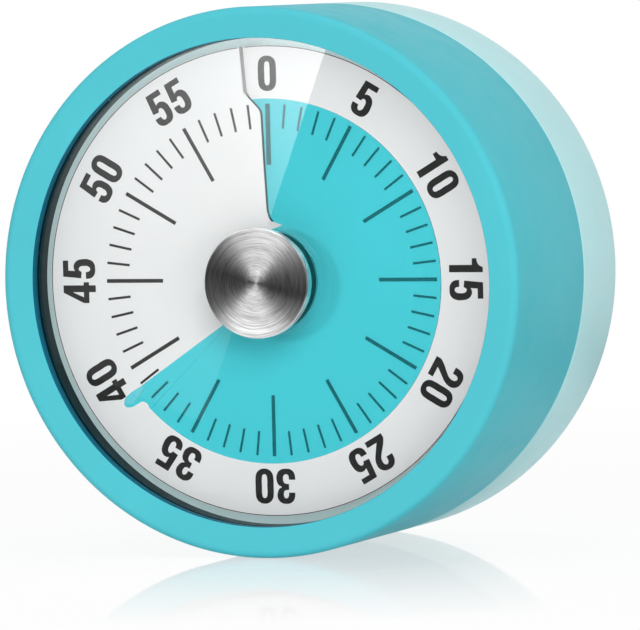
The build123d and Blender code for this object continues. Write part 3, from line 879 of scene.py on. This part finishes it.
@dataclass
class LensStack:
    """The dark gasket, the clear lens and the black spacer behind the bezel."""

    hole: float = 7.42
    edge_round: float = 0.12
    flap: float = 0.04
    flap_top: float = -0.77
    lens_sharp: float = 8.0

    def gasket(self) -> bpy.types.Object:
        """Returns the gasket, whose thin flap paints shade on the bezel's lip with the gasket's dark
        colour.
        """
        drum = DRUM
        # The flap is a dark sheet over the lip: painted shade.
        inner = drum.bezel_inner - self.flap
        form = Form().turn(
            [(inner, drum.lens_front), (drum.ring_outer, drum.lens_front), (drum.ring_outer, -drum.lip),
             (drum.bezel_inner, -drum.lip), (drum.bezel_inner, self.flap_top), (inner, self.flap_top)]
        )
        return form.object("window_gasket")

    def spacer(self) -> bpy.types.Object:
        """Returns the spacer between the lens and the dial's carrier."""
        form = Form().ring(DRUM.bezel_inner, DRUM.ring_outer, DRUM.flange_top, DRUM.lens_back)
        return form.object("window_spacer")

    def lens(self) -> bpy.types.Object:
        """Returns the lens with its hole for the knob."""
        form = Form().ring(self.hole, DRUM.ring_outer, DRUM.lens_back, DRUM.lens_front)
        form.soften(self.hole, DRUM.lens_front, self.edge_round, segments=3)
        return pass_light(form.object("window_lens", self.lens_sharp))

    def dress(self, palette: Palette) -> None:
        """Builds the stack and gives it its finishes."""
        palette.settle(self.gasket(), Body.CASE, Slot.GASKET, "lens_gasket")
        palette.settle(self.spacer(), Body.CASE, Slot.SPACER, "dial_spacer")
        palette.settle(self.lens(), Body.CASE, Slot.LENS, "lens")


@dataclass
class ClimbingDial:
    """The white dial, cut at twelve and wound up by one pitch, with the slit for the time disc.

    Thin strips of painted shade lie on the step face and in the slit's gap; step_points and slit_points
    give the edge's points at their ends.
    """

    thick: float = 0.4
    lap: float = 12.0
    skirt: float = 1.12
    slit: float = 0.55
    strip: float = 0.08
    clear: Vector = field(default_factory=lambda: Vector((0.05, 0.0, -0.03)))
    edge: tuple[tuple[float, float], ...] = (
        (-3.65, 34.1), (-3.15, 27.55), (-2.7, 27.0), (-0.87, 25.1), (-0.57, 24.5), (-0.3, 17.5),
        (0.05, 10.3), (0.36, 9.2), (0.8, 8.7), (2.4, 8.15), (0.3, 7.4),
    )
    step_points: tuple[int, int] = (0, 2)
    slit_points: tuple[int, int] = (2, 8)
    sharp: float = 25.0
    lining_sharp: float = 40.0

    def raised_edge(self) -> list[Vector]:
        """Returns the slit's raised edge, from the rim inwards."""
        points = []
        for place in self.edge:
            points.append(Vector((*place, DRUM.climb(DRUM.dial_low, 360.0 + DRUM.angle(place)))))
        return points

    def height(self, place: Vector) -> float:
        """Returns the height of the dial's face at a place, on the right side of the slit."""
        angle = DRUM.angle(place)
        if angle < 0.0 and not self._past_slit(place):
            angle += 360.0
        return DRUM.climb(DRUM.dial_low, angle)

    def _past_slit(self, place: Vector) -> bool:
        """Tells whether a place left of twelve is still to the right of the slit."""
        for (x_far, y_far), (x_near, y_near) in zip(self.edge, self.edge[1:]):
            if y_near <= place.y <= y_far:
                share = (place.y - y_near) / (y_far - y_near)
                return place.x > x_near + share * (x_far - x_near)
        return False

    def lining(self, name: str, first: int, last: int, depth: float) -> bpy.types.Object:
        """Returns a thin upright strip of painted shade against part of the raised edge.

        Args:
            name: the strip's name.
            first: the edge's point where the strip begins.
            last: the edge's point where it ends.
            depth: the strip's height.

        Returns:
            The strip.
        """
        form = Form()
        points = [point + self.clear for point in self.raised_edge()[first:last + 1]]
        row = form.chain(points)
        made = bmesh.ops.extrude_edge_only(form.bm, edges=row[len(points):])["geom"]
        form.sink(made, depth)
        faces = [item for item in made if isinstance(item, bmesh.types.BMFace)]
        bmesh.ops.solidify(form.bm, geom=faces, thickness=self.strip)
        return form.object(name, self.lining_sharp)

    def dress(self, palette: Palette) -> None:
        """Builds the dial, gives it its finish and adds the strips of painted shade along its raised edge.
        """
        form = Form().sweep_down(self.raised_edge(), 360.0 + self.lap, DRUM.climb_steps)
        face = form.thicken(self.thick).object("dial_face", self.sharp)
        palette.settle(face, Body.CASE, Slot.DIAL, "dial")
        # A grey strip on the outer step face and a dark strip in the slit's gap: painted shade.
        step = self.lining("dial_step_shade", *self.step_points, self.skirt)
        palette.settle(step, Body.CASE, Slot.DIAL, finish=palette.step)
        palette.settle(self.lining("slit_shade_strip", *self.slit_points, self.slit), Body.CASE, Slot.HUB)


@dataclass
class DialPrint:
    """Sixty ticks, the twelve numbers and an edge ring of painted shade, laid on the climbing dial."""

    dial: ClimbingDial
    tick_outer: float = 25.65
    long_inner: float = 16.75
    short_inner: float = 22.1
    long_width: float = 0.56
    short_width: float = 0.36
    start_width: float = 0.74
    rim: tuple[float, float] = (34.12, 34.24)
    number_radius: float = 30.05
    number_height: float = 5.05
    digit_gap: float = 11.5
    bold: float = 0.045
    shift: tuple[float, float] = (0.18, 0.15)
    lift: float = 0.02
    minutes: int = 60
    number_every: int = 5
    rim_start: float = 353.5
    rim_arc: float = 359.0
    em: float = 100.0
    glyphs: dict[str, tuple[float, tuple[Contour, ...]]] = field(default_factory=lambda: {
        "0": (54.0, (
            ((27, 100, 1), (42, 96, 1), (51, 86, 1), (54, 70, 1), (54, 50, 1), (54, 30, 1), (51, 14, 1),
             (42, 4, 1), (27, 0, 1), (12, 4, 1), (3, 14, 1), (0, 30, 1), (0, 50, 1), (0, 70, 1),
             (3, 86, 1), (12, 96, 1)),
            ((27, 85.5, 1), (33.5, 82, 1), (36, 72, 1), (36, 50, 1), (36, 28, 1), (33.5, 18, 1),
             (27, 14.5, 1), (20.5, 18, 1), (18, 28, 1), (18, 50, 1), (18, 72, 1), (20.5, 82, 1)),
        )),
        "1": (50.0, (
            ((25, 100), (38, 100), (38, 0), (19, 0), (19, 69), (0, 69), (0, 81), (11, 83.5, 1),
             (20, 90, 1)),
        )),
        "2": (56.0, (
            ((0, 66), (3, 86, 1), (13, 97, 1), (28, 100, 1), (44, 96, 1), (54, 85, 1), (56, 71, 1),
             (51, 55, 1), (40, 39, 1), (23, 15.5), (56, 15.5), (56, 0), (0, 0), (0, 14), (8, 27, 1),
             (27, 49, 1), (35, 60, 1), (37.5, 72, 1), (35, 82, 1), (28, 86, 1), (20.5, 81.5, 1), (18, 66)),
        )),
        "3": (56.0, (
            ((1, 69), (4, 87, 1), (14, 97, 1), (28, 100, 1), (44, 96, 1), (53.5, 84, 1), (53, 68, 1),
             (48, 57.5, 1), (41, 52.5, 1), (50, 46, 1), (56, 33, 1), (55, 16, 1), (45, 3.5, 1), (28, 0, 1),
             (12, 3, 1), (3, 13, 1), (0, 30), (18, 30), (20.5, 18, 1), (28, 14, 1), (35.5, 18, 1),
             (38, 30, 1), (34, 41, 1), (20, 44.5), (20, 59.5), (32.5, 62, 1), (36.5, 73, 1), (34.5, 82, 1),
             (28, 86, 1), (21, 81.5, 1), (18.5, 69)),
        )),
        "4": (59.0, (
            ((30, 100), (50, 100), (50, 36), (59, 36), (59, 21), (50, 21), (50, 0), (32, 0), (32, 21),
             (0, 21), (0, 37)),
            ((32, 36), (32, 76), (14.5, 36)),
        )),
        "5": (56.0, (
            ((7, 100), (52, 100), (52, 85), (23, 85), (21.5, 61.5), (31, 66, 1), (43, 64, 1),
             (52.5, 54, 1), (56, 38, 1), (55, 19, 1), (46, 4.5, 1), (28, 0, 1), (12, 3, 1), (3, 12, 1),
             (0, 28), (18, 28), (20.5, 18, 1), (28, 14, 1), (35.5, 19.5, 1), (38, 33, 1), (35.5, 47, 1),
             (28, 52, 1), (22, 49, 1), (19.5, 43), (2, 45)),
        )),
    })

    def outline(self, text: str) -> bpy.types.Mesh:
        """Draws a number, centred, in millimetres.

        Args:
            text: the number's digits.

        Returns:
            The flat mesh.
        """
        scale = self.number_height / self.em
        width = sum(self.glyphs[digit][0] for digit in text) + self.digit_gap * (len(text) - 1)
        start, contours = -width / 2.0, []
        for digit in text:
            advance, shapes = self.glyphs[digit]
            for number, shape in enumerate(shapes):
                points = [
                    ((start + x) * scale, (y - self.em / 2.0) * scale, *soft) for x, y, *soft in shape
                ]
                contours.append(points[::-1] if number else points)
            start += advance + self.digit_gap
        return flat_shape("number_" + text, contours, swell=self.bold)

    def dress(self, palette: Palette) -> None:
        """Prints the dial."""
        form = Form()
        for minute in range(self.minutes):
            turn = DRUM.from_twelve(360.0 * minute / self.minutes)
            whole = minute % self.number_every == 0
            inner = self.long_inner if whole else self.short_inner
            width = self.long_width if whole else self.short_width
            width = width if minute else self.start_width
            middle, length = (self.tick_outer + inner) / 2.0, self.tick_outer - inner
            shape = Matrix.Translation((0.0, middle, 0.0)) @ Matrix.Diagonal((width, length, 1.0, 1.0))
            bmesh.ops.create_grid(form.bm, x_segments=1, y_segments=1, size=0.5, matrix=turn @ shape)
            if whole:
                mesh = self.outline(str(minute))
                mesh.transform(turn @ Matrix.Translation((0.0, self.number_radius, 0.0)))
                form.take(mesh)
        bmesh.ops.translate(form.bm, verts=form.bm.verts[:], vec=(*self.shift, 0.0))
        # A thin dark ring at the dial's edge, in the ink: painted shade of the gap round the dial.
        rim = [DRUM.clock(radius, self.rim_start) for radius in self.rim]
        form.sweep_down(rim, self.rim_arc, DRUM.climb_steps)
        for vert in form.bm.verts:
            vert.co.z = self.dial.height(vert.co) + self.lift
        palette.settle(form.object("dial_print"), Body.CASE, Slot.DIAL, finish=palette.ink)


@dataclass
class TimeDisc:
    """The tinted film that winds out of the slit, with the tab and the small grip at its leading edge."""

    radius: float = 26.55
    thick: float = 0.3
    arc: float = 358.0
    sector: float = 8.0
    rows: int = 8
    grip_high: float = 0.45
    grip_round: float = 0.3
    grip_spans: int = 6
    foot_x: float = -0.9
    weld: float = 0.01
    sharp: float = 25.0
    grip_sharp: float = 40.0
    tab: Contour = (
        (-2.98, 26.18), (-2.3, 26.42, 1), (-1.95, 26.95, 1), (-1.85, 27.7, 1), (-1.6, 28.7, 1),
        (-0.95, 29.25, 1), (-0.3, 28.9, 1), (0.0, 28.0, 1), (-0.1, 26.4),
    )
    bead: Contour = (
        (-0.2, 25.6, 1), (-0.12, 28.1, 1), (-0.6, 28.95, 1), (-1.25, 28.5, 1), (-1.25, 27.0, 1),
        (-0.75, 25.4, 1), (-0.4, 25.0, 1),
    )

    def lead_shape(self) -> bpy.types.Mesh:
        """Returns the flat mesh of the leading sector with its tab, in the film's axes at twelve."""
        inner, outer = (DRUM.clock(radius, -self.sector) for radius in (DRUM.dial_inner, self.radius))
        foot = Vector((self.foot_x, math.sqrt(DRUM.dial_inner**2 - self.foot_x**2)))
        rim = DRUM.clock(self.radius, (DRUM.angle(self.tab[0]) - self.sector) / 2.0)
        middle = DRUM.clock(DRUM.dial_inner, (DRUM.angle(foot) - self.sector) / 2.0)
        lead = [tuple(place.xy) for place in (inner, outer, rim)]
        loop = [*lead, *self.tab, tuple(foot), tuple(middle.xy)]
        return flat_shape("film_lead", [loop], self.rows)

    def film(self) -> bpy.types.Object:
        """Returns the film with its tab."""
        form = Form().take(self.lead_shape()).merge_flat()
        for vert in form.bm.verts:
            vert.co.z = DRUM.climb(DRUM.film_low, DRUM.rest + DRUM.angle(vert.co))
        bmesh.ops.transform(form.bm, matrix=DRUM.from_twelve(DRUM.rest), verts=form.bm.verts[:])
        start, row = DRUM.rest - self.sector, []
        for step in range(self.rows + 1):
            place = DRUM.clock(DRUM.dial_inner + (self.radius - DRUM.dial_inner) * step / self.rows, start)
            place.z = DRUM.climb(DRUM.film_low, start)
            row.append(place)
        form.sweep_down(row, self.arc, DRUM.climb_steps)
        bmesh.ops.remove_doubles(form.bm, verts=form.bm.verts[:], dist=self.weld)
        return pass_light(form.thicken(self.thick).object("time_film", self.sharp))

    def grip(self) -> bpy.types.Object:
        """Returns the rounded grip that stands on the tab."""
        mesh = flat_shape("grip_outline", [self.bead], self.grip_spans)
        top = DRUM.climb(DRUM.film_low, DRUM.rest) + self.grip_high
        mesh.transform(Matrix.Translation((0, 0, top)) @ DRUM.from_twelve(DRUM.rest))
        form = Form().take(mesh).merge_flat().thicken(self.grip_high)
        form.bevel(lambda place: abs(place.z - top) < NEAR, self.grip_round, segments=5)
        return pass_light(form.object("pointer_grip_bead", self.grip_sharp))

    def dress(self, palette: Palette) -> None:
        """Builds the film and its grip."""
        palette.settle(self.film(), Body.DISC, Slot.FILM, "time_disc")
        palette.settle(self.grip(), Body.DISC, Slot.FILM, "pointer_grip", finish=palette.grip)


@dataclass
class WindingKnob:
    """The turned metal cap with its lathe centre, and the dark collar round the hub."""

    radius: float = 8.02
    thick: float = 1.25
    chamfer: float = 0.18
    pip: Profile = ((0.0, -0.21), (0.35, -0.15), (0.8, -0.065), (1.25, -0.02), (1.7, 0.0))
    collar_inner: float = 7.05
    collar_outer: float = 7.33
    collar_low: float = -5.9
    edge_round: float = 0.04
    steps: int = 128
    sharp: float = 28.0

    def dress(self, palette: Palette) -> None:
        """Builds the cap and the collar."""
        top, low = DRUM.knob_proud, DRUM.knob_proud - self.thick
        face, side = (self.radius - self.chamfer, top), (self.radius, top - self.chamfer)
        pip = [(radius, top + sink) for radius, sink in self.pip]
        form = Form().turn([*pip, face, side, (self.radius, low), (0.0, low)], self.steps)
        for corner in (face, side):
            form.soften(*corner, self.edge_round, segments=2)
        palette.settle(form.object("knob_face", self.sharp), Body.WINDER, Slot.KNOB, "knob_cap")
        collar = Form().ring(self.collar_inner, self.collar_outer, self.collar_low, low, self.steps)
        palette.settle(collar.object("knob_collar", self.sharp), Body.WINDER, Slot.HUB)


@dataclass
class CadNodes:
    """The nodes whose CAD shape stays, with the slot that dresses each."""

    slots: dict[Slot, tuple[str, ...]] = field(default_factory=lambda: {
        Slot.SCREW: ("case_screws", "plate_screws", "movement_screws", "bell_screw"),
        Slot.MAGNET: ("back_magnet",),
        Slot.CARRIER: ("dial_carrier",),
        Slot.HUB: ("knob_hub",),
        Slot.ARBOR: ("main_arbor", "plate_pillars", "second_pinion", "third_pinion", "escape_pinion",
                     "pallet_arbor", "hammer_arbor"),
        Slot.SPRING: ("arbor_clip", "clutch_spring", "hammer_spring", "mainspring"),
        Slot.BRASS: ("main_wheel", "wheel_collet", "strike_cam", "arbor_bushes", "second_wheel",
                     "third_wheel", "escape_wheel", "inertia_bar"),
        Slot.PLATE: ("front_plate", "rear_plate", "pallet_anchor", "hammer_tail", "hammer",
                     "spring_barrel"),
        Slot.BELL: ("bell",),
    })

    def dress(self, palette: Palette) -> None:
        """Gives each kept node its finish."""
        for slot, names in self.slots.items():
            for name in names:
                palette.paint(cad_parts[name], slot)
                log.info("%s: %s", name, slot.value)


@dataclass(frozen=True)
class Lamp:
    """A square area lamp that points at the middle of the drum."""

    name: str
    place: Place
    size: float
    power: float

    def make(self) -> bpy.types.Object:
        """Adds the lamp to the scene and returns it."""
        data = bpy.data.lights.new(self.name, "AREA")
        data.size, data.energy = self.size, self.power
        lamp = bpy.data.objects.new(self.name, data)
        lamp.location = self.place
        way = Vector((0.0, 0.0, DRUM.radius / 1000.0)) - Vector(self.place)
        lamp.rotation_euler = way.to_track_quat("-Z", "Y").to_euler()
        bpy.context.scene.collection.objects.link(lamp)
        return lamp


@dataclass(frozen=True)
class Card:
    """A square card that glows on one side only."""

    name: str
    middle: Place
    size: float
    turn: float


@dataclass(frozen=True)
class Viewpoint:
    """The camera at the photograph's viewing angle."""

    focal: float = 345.46
    sensor: float = 36.0
    clip: tuple[float, float] = (0.05, 20.0)
    right: Place = (0.93400, 0.35645, -0.02411)
    up: Place = (0.00208, 0.06207, 0.99807)
    back: Place = (0.35726, -0.93225, 0.05723)
    eye: Place = (0.32576, -0.84740, 0.08601)

    def make(self) -> None:
        """Makes the camera and hands it to the scene."""
        data = bpy.data.cameras.new("camera")
        data.lens, data.sensor_width = self.focal, self.sensor
        data.clip_start, data.clip_end = self.clip
        view = bpy.data.objects.new("camera", data)
        turn = Matrix((self.right, self.up, self.back)).transposed().to_4x4()
        view.matrix_world = Matrix.Translation(self.eye) @ turn
        bpy.context.scene.collection.objects.link(view)
        bpy.context.scene.camera = view


@dataclass
class Studio:
    """A white floor, soft lamps and the cards that the lens and the knob mirror.

    The lamps in knob_lamps cast the knob's shadow and no other.
    """

    ambient: float = 0.36
    knob_lamps: tuple[Lamp, ...] = (
        Lamp("key", (-0.60, -1.24, 0.18), 0.10, 3.0),
        Lamp("front", (0.50, -1.15, 0.80), 0.9, 9.4),
    )
    lamps: tuple[Lamp, ...] = (
        Lamp("fill", (0.8, -0.45, 0.08), 0.6, 2.1),
        Lamp("top", (0.0, 0.05, 0.95), 0.7, 2.3),
    )
    cards: tuple[Card, ...] = (
        Card("low_card", (-0.03, -0.075, 0.001), 0.07, 0.0),
        Card("high_card", (-0.12, -0.27, 0.26), 0.36, math.pi),
    )
    card_glow: float = 2.78
    floor_half: float = 6.0
    floor_tone: tuple[float, float] = (0.9, 0.92)
    floor_rough: float = 0.04
    floor_mirror: float = 0.34
    mirror_reach: tuple[float, float] = (0.035, 0.11)
    mirror_depth: tuple[float, float] = (0.02, 0.05)
    mirror_behind: float = 0.45
    floor_shade: float = 0.15
    shade_reach: tuple[float, float] = (0.05, 0.30)
    dark_from: tuple[float, float] = (0.095, 0.115)
    strip_radius: float = 0.19
    strip_height: float = 0.10
    strip_turn: tuple[float, float] = (-95.0, 90.0)
    strip_fade: tuple[float, float] = (-0.10, 0.0)
    strip_colour: Colour = (0.05, 0.05, 0.05)
    glow: float = 9.5
    glow_corner: Place = (-0.0313, -0.1306, 0.0716)
    glow_slope: float = 20.9
    glow_size: tuple[float, float] = (0.055, 0.080)
    glow_below: float = 0.015
    glow_fade: tuple[float, float] = (0.0509, 0.0240)

    @staticmethod
    def shown(graph: Graph) -> Socket:
        """Returns one where a camera, mirrored or transmitted ray looks, and nought for scattered light."""
        path = graph.add("LightPath")
        seen = graph.math("MAXIMUM", path.outputs["Is Camera Ray"], path.outputs["Is Glossy Ray"])
        return graph.math("MAXIMUM", seen, path.outputs["Is Transmission Ray"])

    @staticmethod
    def backdrop(name: str, form: bmesh.types.BMesh, place: Matrix) -> tuple[bpy.types.Object, Graph]:
        """Makes a stage object with an empty material.

        Args:
            name: the object's name.
            form: its mesh.
            place: its place in the row frame.

        Returns:
            The object and the graph of its material, which holds a Material Output alone.
        """
        mesh = bpy.data.meshes.new(name)
        form.to_mesh(mesh)
        form.free()
        plane = bpy.data.objects.new(name, mesh)
        plane.matrix_world = place
        bpy.context.scene.collection.objects.link(plane)
        paint = bpy.data.materials.new(name + "_paint")
        paint.use_nodes = True
        paint.node_tree.nodes.remove(paint.node_tree.nodes["Principled BSDF"])
        mesh.materials.append(paint)
        log.info("stage %s", name)
        return plane, Graph(paint.node_tree)

    @staticmethod
    def surface(graph: Graph, shader: Socket) -> None:
        """Links a shader to the material's output."""
        graph.feed(graph.tree.nodes["Material Output"].inputs["Surface"], shader)

    @staticmethod
    def mirrored_only(card: bpy.types.Object) -> None:
        """Leaves a card to mirrored and transmitted rays alone."""
        card.visible_camera = card.visible_diffuse = card.visible_shadow = False

    @staticmethod
    def group_of(name: str, piece: bpy.types.Object) -> bpy.types.Collection:
        """Returns a new collection with one piece in it, for light linking."""
        group = bpy.data.collections.new(name)
        group.objects.link(piece)
        return group

    def light_only(self, card: bpy.types.Object, piece: bpy.types.Object) -> None:
        """Lets a card light one piece and no other."""
        card.light_linking.receiver_collection = self.group_of(card.name + "_target", piece)

    def floor(self) -> None:
        """Makes the floor.

        It is white where it is seen, with a faint mirror, a soft shadow and a dark ring for the lens.
        """
        form = bmesh.new()
        bmesh.ops.create_grid(form, x_segments=2, y_segments=2, size=self.floor_half)
        _, graph = self.backdrop("floor", form, Matrix())
        spot = graph.spot()
        cloud = graph.noise(scale=3.0, detail=2.0, Vector=spot)
        paint = graph.matte(graph.shade(WHITE, graph.span(cloud, 0.3, 0.7, *self.floor_tone)))
        reach = graph.length(spot)
        inside = graph.math("LESS_THAN", reach, self.strip_radius)
        ring = graph.times(graph.span(reach, *self.dark_from, 0.0, 1.0), inside)
        ring = graph.times(ring, graph.add("LightPath").outputs["Is Glossy Ray"])
        white = graph.glow(graph.math("SUBTRACT", 1.0, ring))
        share = graph.span(reach, *self.shade_reach, self.floor_shade, 0.0)
        shade = graph.blend(share, white, graph.matte(WHITE))
        gloss = graph.add("BsdfGlossy", {"Color": WHITE, "Roughness": self.floor_rough}).outputs[0]
        fade = graph.span(reach, *self.mirror_reach, self.floor_mirror, 0.0)
        behind = graph.span(graph.axis(spot, "Y"), *self.mirror_depth, 1.0, self.mirror_behind)
        show = graph.blend(graph.times(fade, behind), shade, gloss)
        self.surface(graph, graph.blend(self.shown(graph), paint, show))

    def dark_strip(self) -> None:
        """Makes the low dark band in front of the drum, mirrored by lens and knob; its ends fade out."""
        form = bmesh.new()
        start, end = (math.radians(turn) for turn in self.strip_turn)
        foot = (self.strip_radius * math.sin(start), -self.strip_radius * math.cos(start))
        low, high = (form.verts.new((*foot, height)) for height in (0.0, self.strip_height))
        edge = form.edges.new((low, high))
        bmesh.ops.spin(
            form, geom=[low, high, edge], cent=(0, 0, 0), axis=(0, 0, 1), angle=end - start, steps=48,
            use_merge=False,
        )
        card, graph = self.backdrop("dark_strip", form, Matrix())
        ends = graph.span(graph.axis(graph.spot(), "Y"), *self.strip_fade, 0.0, 1.0)
        through = graph.add("BsdfTransparent").outputs[0]
        self.surface(graph, graph.blend(ends, graph.matte(rgba(self.strip_colour)), through))
        self.mirrored_only(card)

    def glow_card(self, lens: bpy.types.Object) -> None:
        """Makes the softbox whose straight edge the lens mirrors as a pale wedge.

        Args:
            lens: the only piece that it lights.
        """
        width, height = self.glow_size
        form = bmesh.new()
        middle = Matrix.Translation((width / 2.0, height / 2.0 - self.glow_below, 0.0))
        shape = middle @ Matrix.Diagonal((width, height, 1, 1))
        bmesh.ops.create_grid(form, x_segments=1, y_segments=1, size=0.5, matrix=shape)
        slope = math.radians(self.glow_slope)
        left = Vector((-math.cos(slope), 0.0, math.sin(slope)))
        down = Vector((-math.sin(slope), 0.0, -math.cos(slope)))
        turn = Matrix((left, down, left.cross(down))).transposed().to_4x4()
        card, graph = self.backdrop("glow_card", form, Matrix.Translation(self.glow_corner) @ turn)
        spot = graph.spot()
        across = graph.math("DIVIDE", graph.axis(spot, "X"), self.glow_fade[0])
        along = graph.math("DIVIDE", graph.axis(spot, "Y"), self.glow_fade[1])
        fall = graph.math("EXPONENT", graph.times(graph.math("ADD", across, along), -1.0))
        self.surface(graph, graph.glow(graph.times(fall, self.glow)))
        self.mirrored_only(card)
        card.visible_transmission = False
        self.light_only(card, lens)

    def knob_cards(self, knob: bpy.types.Object) -> None:
        """Makes the two pale cards, low and high, that the turned face fans out.

        Args:
            knob: the only piece that they light.
        """
        for kind in self.cards:
            form = bmesh.new()
            bmesh.ops.create_grid(form, x_segments=1, y_segments=1, size=kind.size / 2.0)
            place = Matrix.Translation(kind.middle) @ Matrix.Rotation(kind.turn, 4, "X")
            card, graph = self.backdrop(kind.name, form, place)
            behind = graph.add("NewGeometry").outputs["Backfacing"]
            through = graph.add("BsdfTransparent").outputs[0]
            self.surface(graph, graph.blend(behind, graph.glow(self.card_glow), through))
            self.mirrored_only(card)
            self.light_only(card, knob)

    def world(self) -> None:
        """Makes the world: white to the camera, to metal and to glass, softer as a light."""
        world = bpy.data.worlds.new("studio")
        world.use_nodes = True
        bpy.context.scene.world = world
        graph = Graph(world.node_tree)
        soft = world.node_tree.nodes["Background"]
        graph.feed(soft.inputs["Color"], WHITE)
        graph.feed(soft.inputs["Strength"], self.ambient)
        white = graph.add("Background", {"Color": WHITE, "Strength": 1.0})
        both = graph.blend(self.shown(graph), soft.outputs[0], white.outputs[0])
        graph.feed(world.node_tree.nodes["World Output"].inputs["Surface"], both)

    def dress(self, lens: bpy.types.Object, knob: bpy.types.Object) -> None:
        """Builds the studio.

        Args:
            lens: the window that mirrors the softbox.
            knob: the turned face that mirrors the pale cards.
        """
        self.floor()
        self.world()
        self.dark_strip()
        self.glow_card(lens)
        self.knob_cards(knob)
        blocker = self.group_of("front_blocker", knob)
        for kind in self.knob_lamps:
            lamp = kind.make()
            lamp.visible_glossy = lamp.visible_transmission = False
            lamp.light_linking.blocker_collection = blocker
        for kind in self.lamps:
            kind.make()
        Viewpoint().make()
        bpy.context.scene.view_settings.view_transform = "Standard"


def main() -> None:
    """Builds the studio and every sub-assembly in order."""
    palette = Palette()
    dial = ClimbingDial()
    for part in (CaseShell(), LensStack(), dial, DialPrint(dial), TimeDisc(), WindingKnob(), CadNodes()):
        part.dress(palette)
        log.info("%s done", type(part).__name__)
    Studio().dress(bpy.data.objects["window_lens"], bpy.data.objects["knob_face"])


if __name__ == "__main__":
    main()
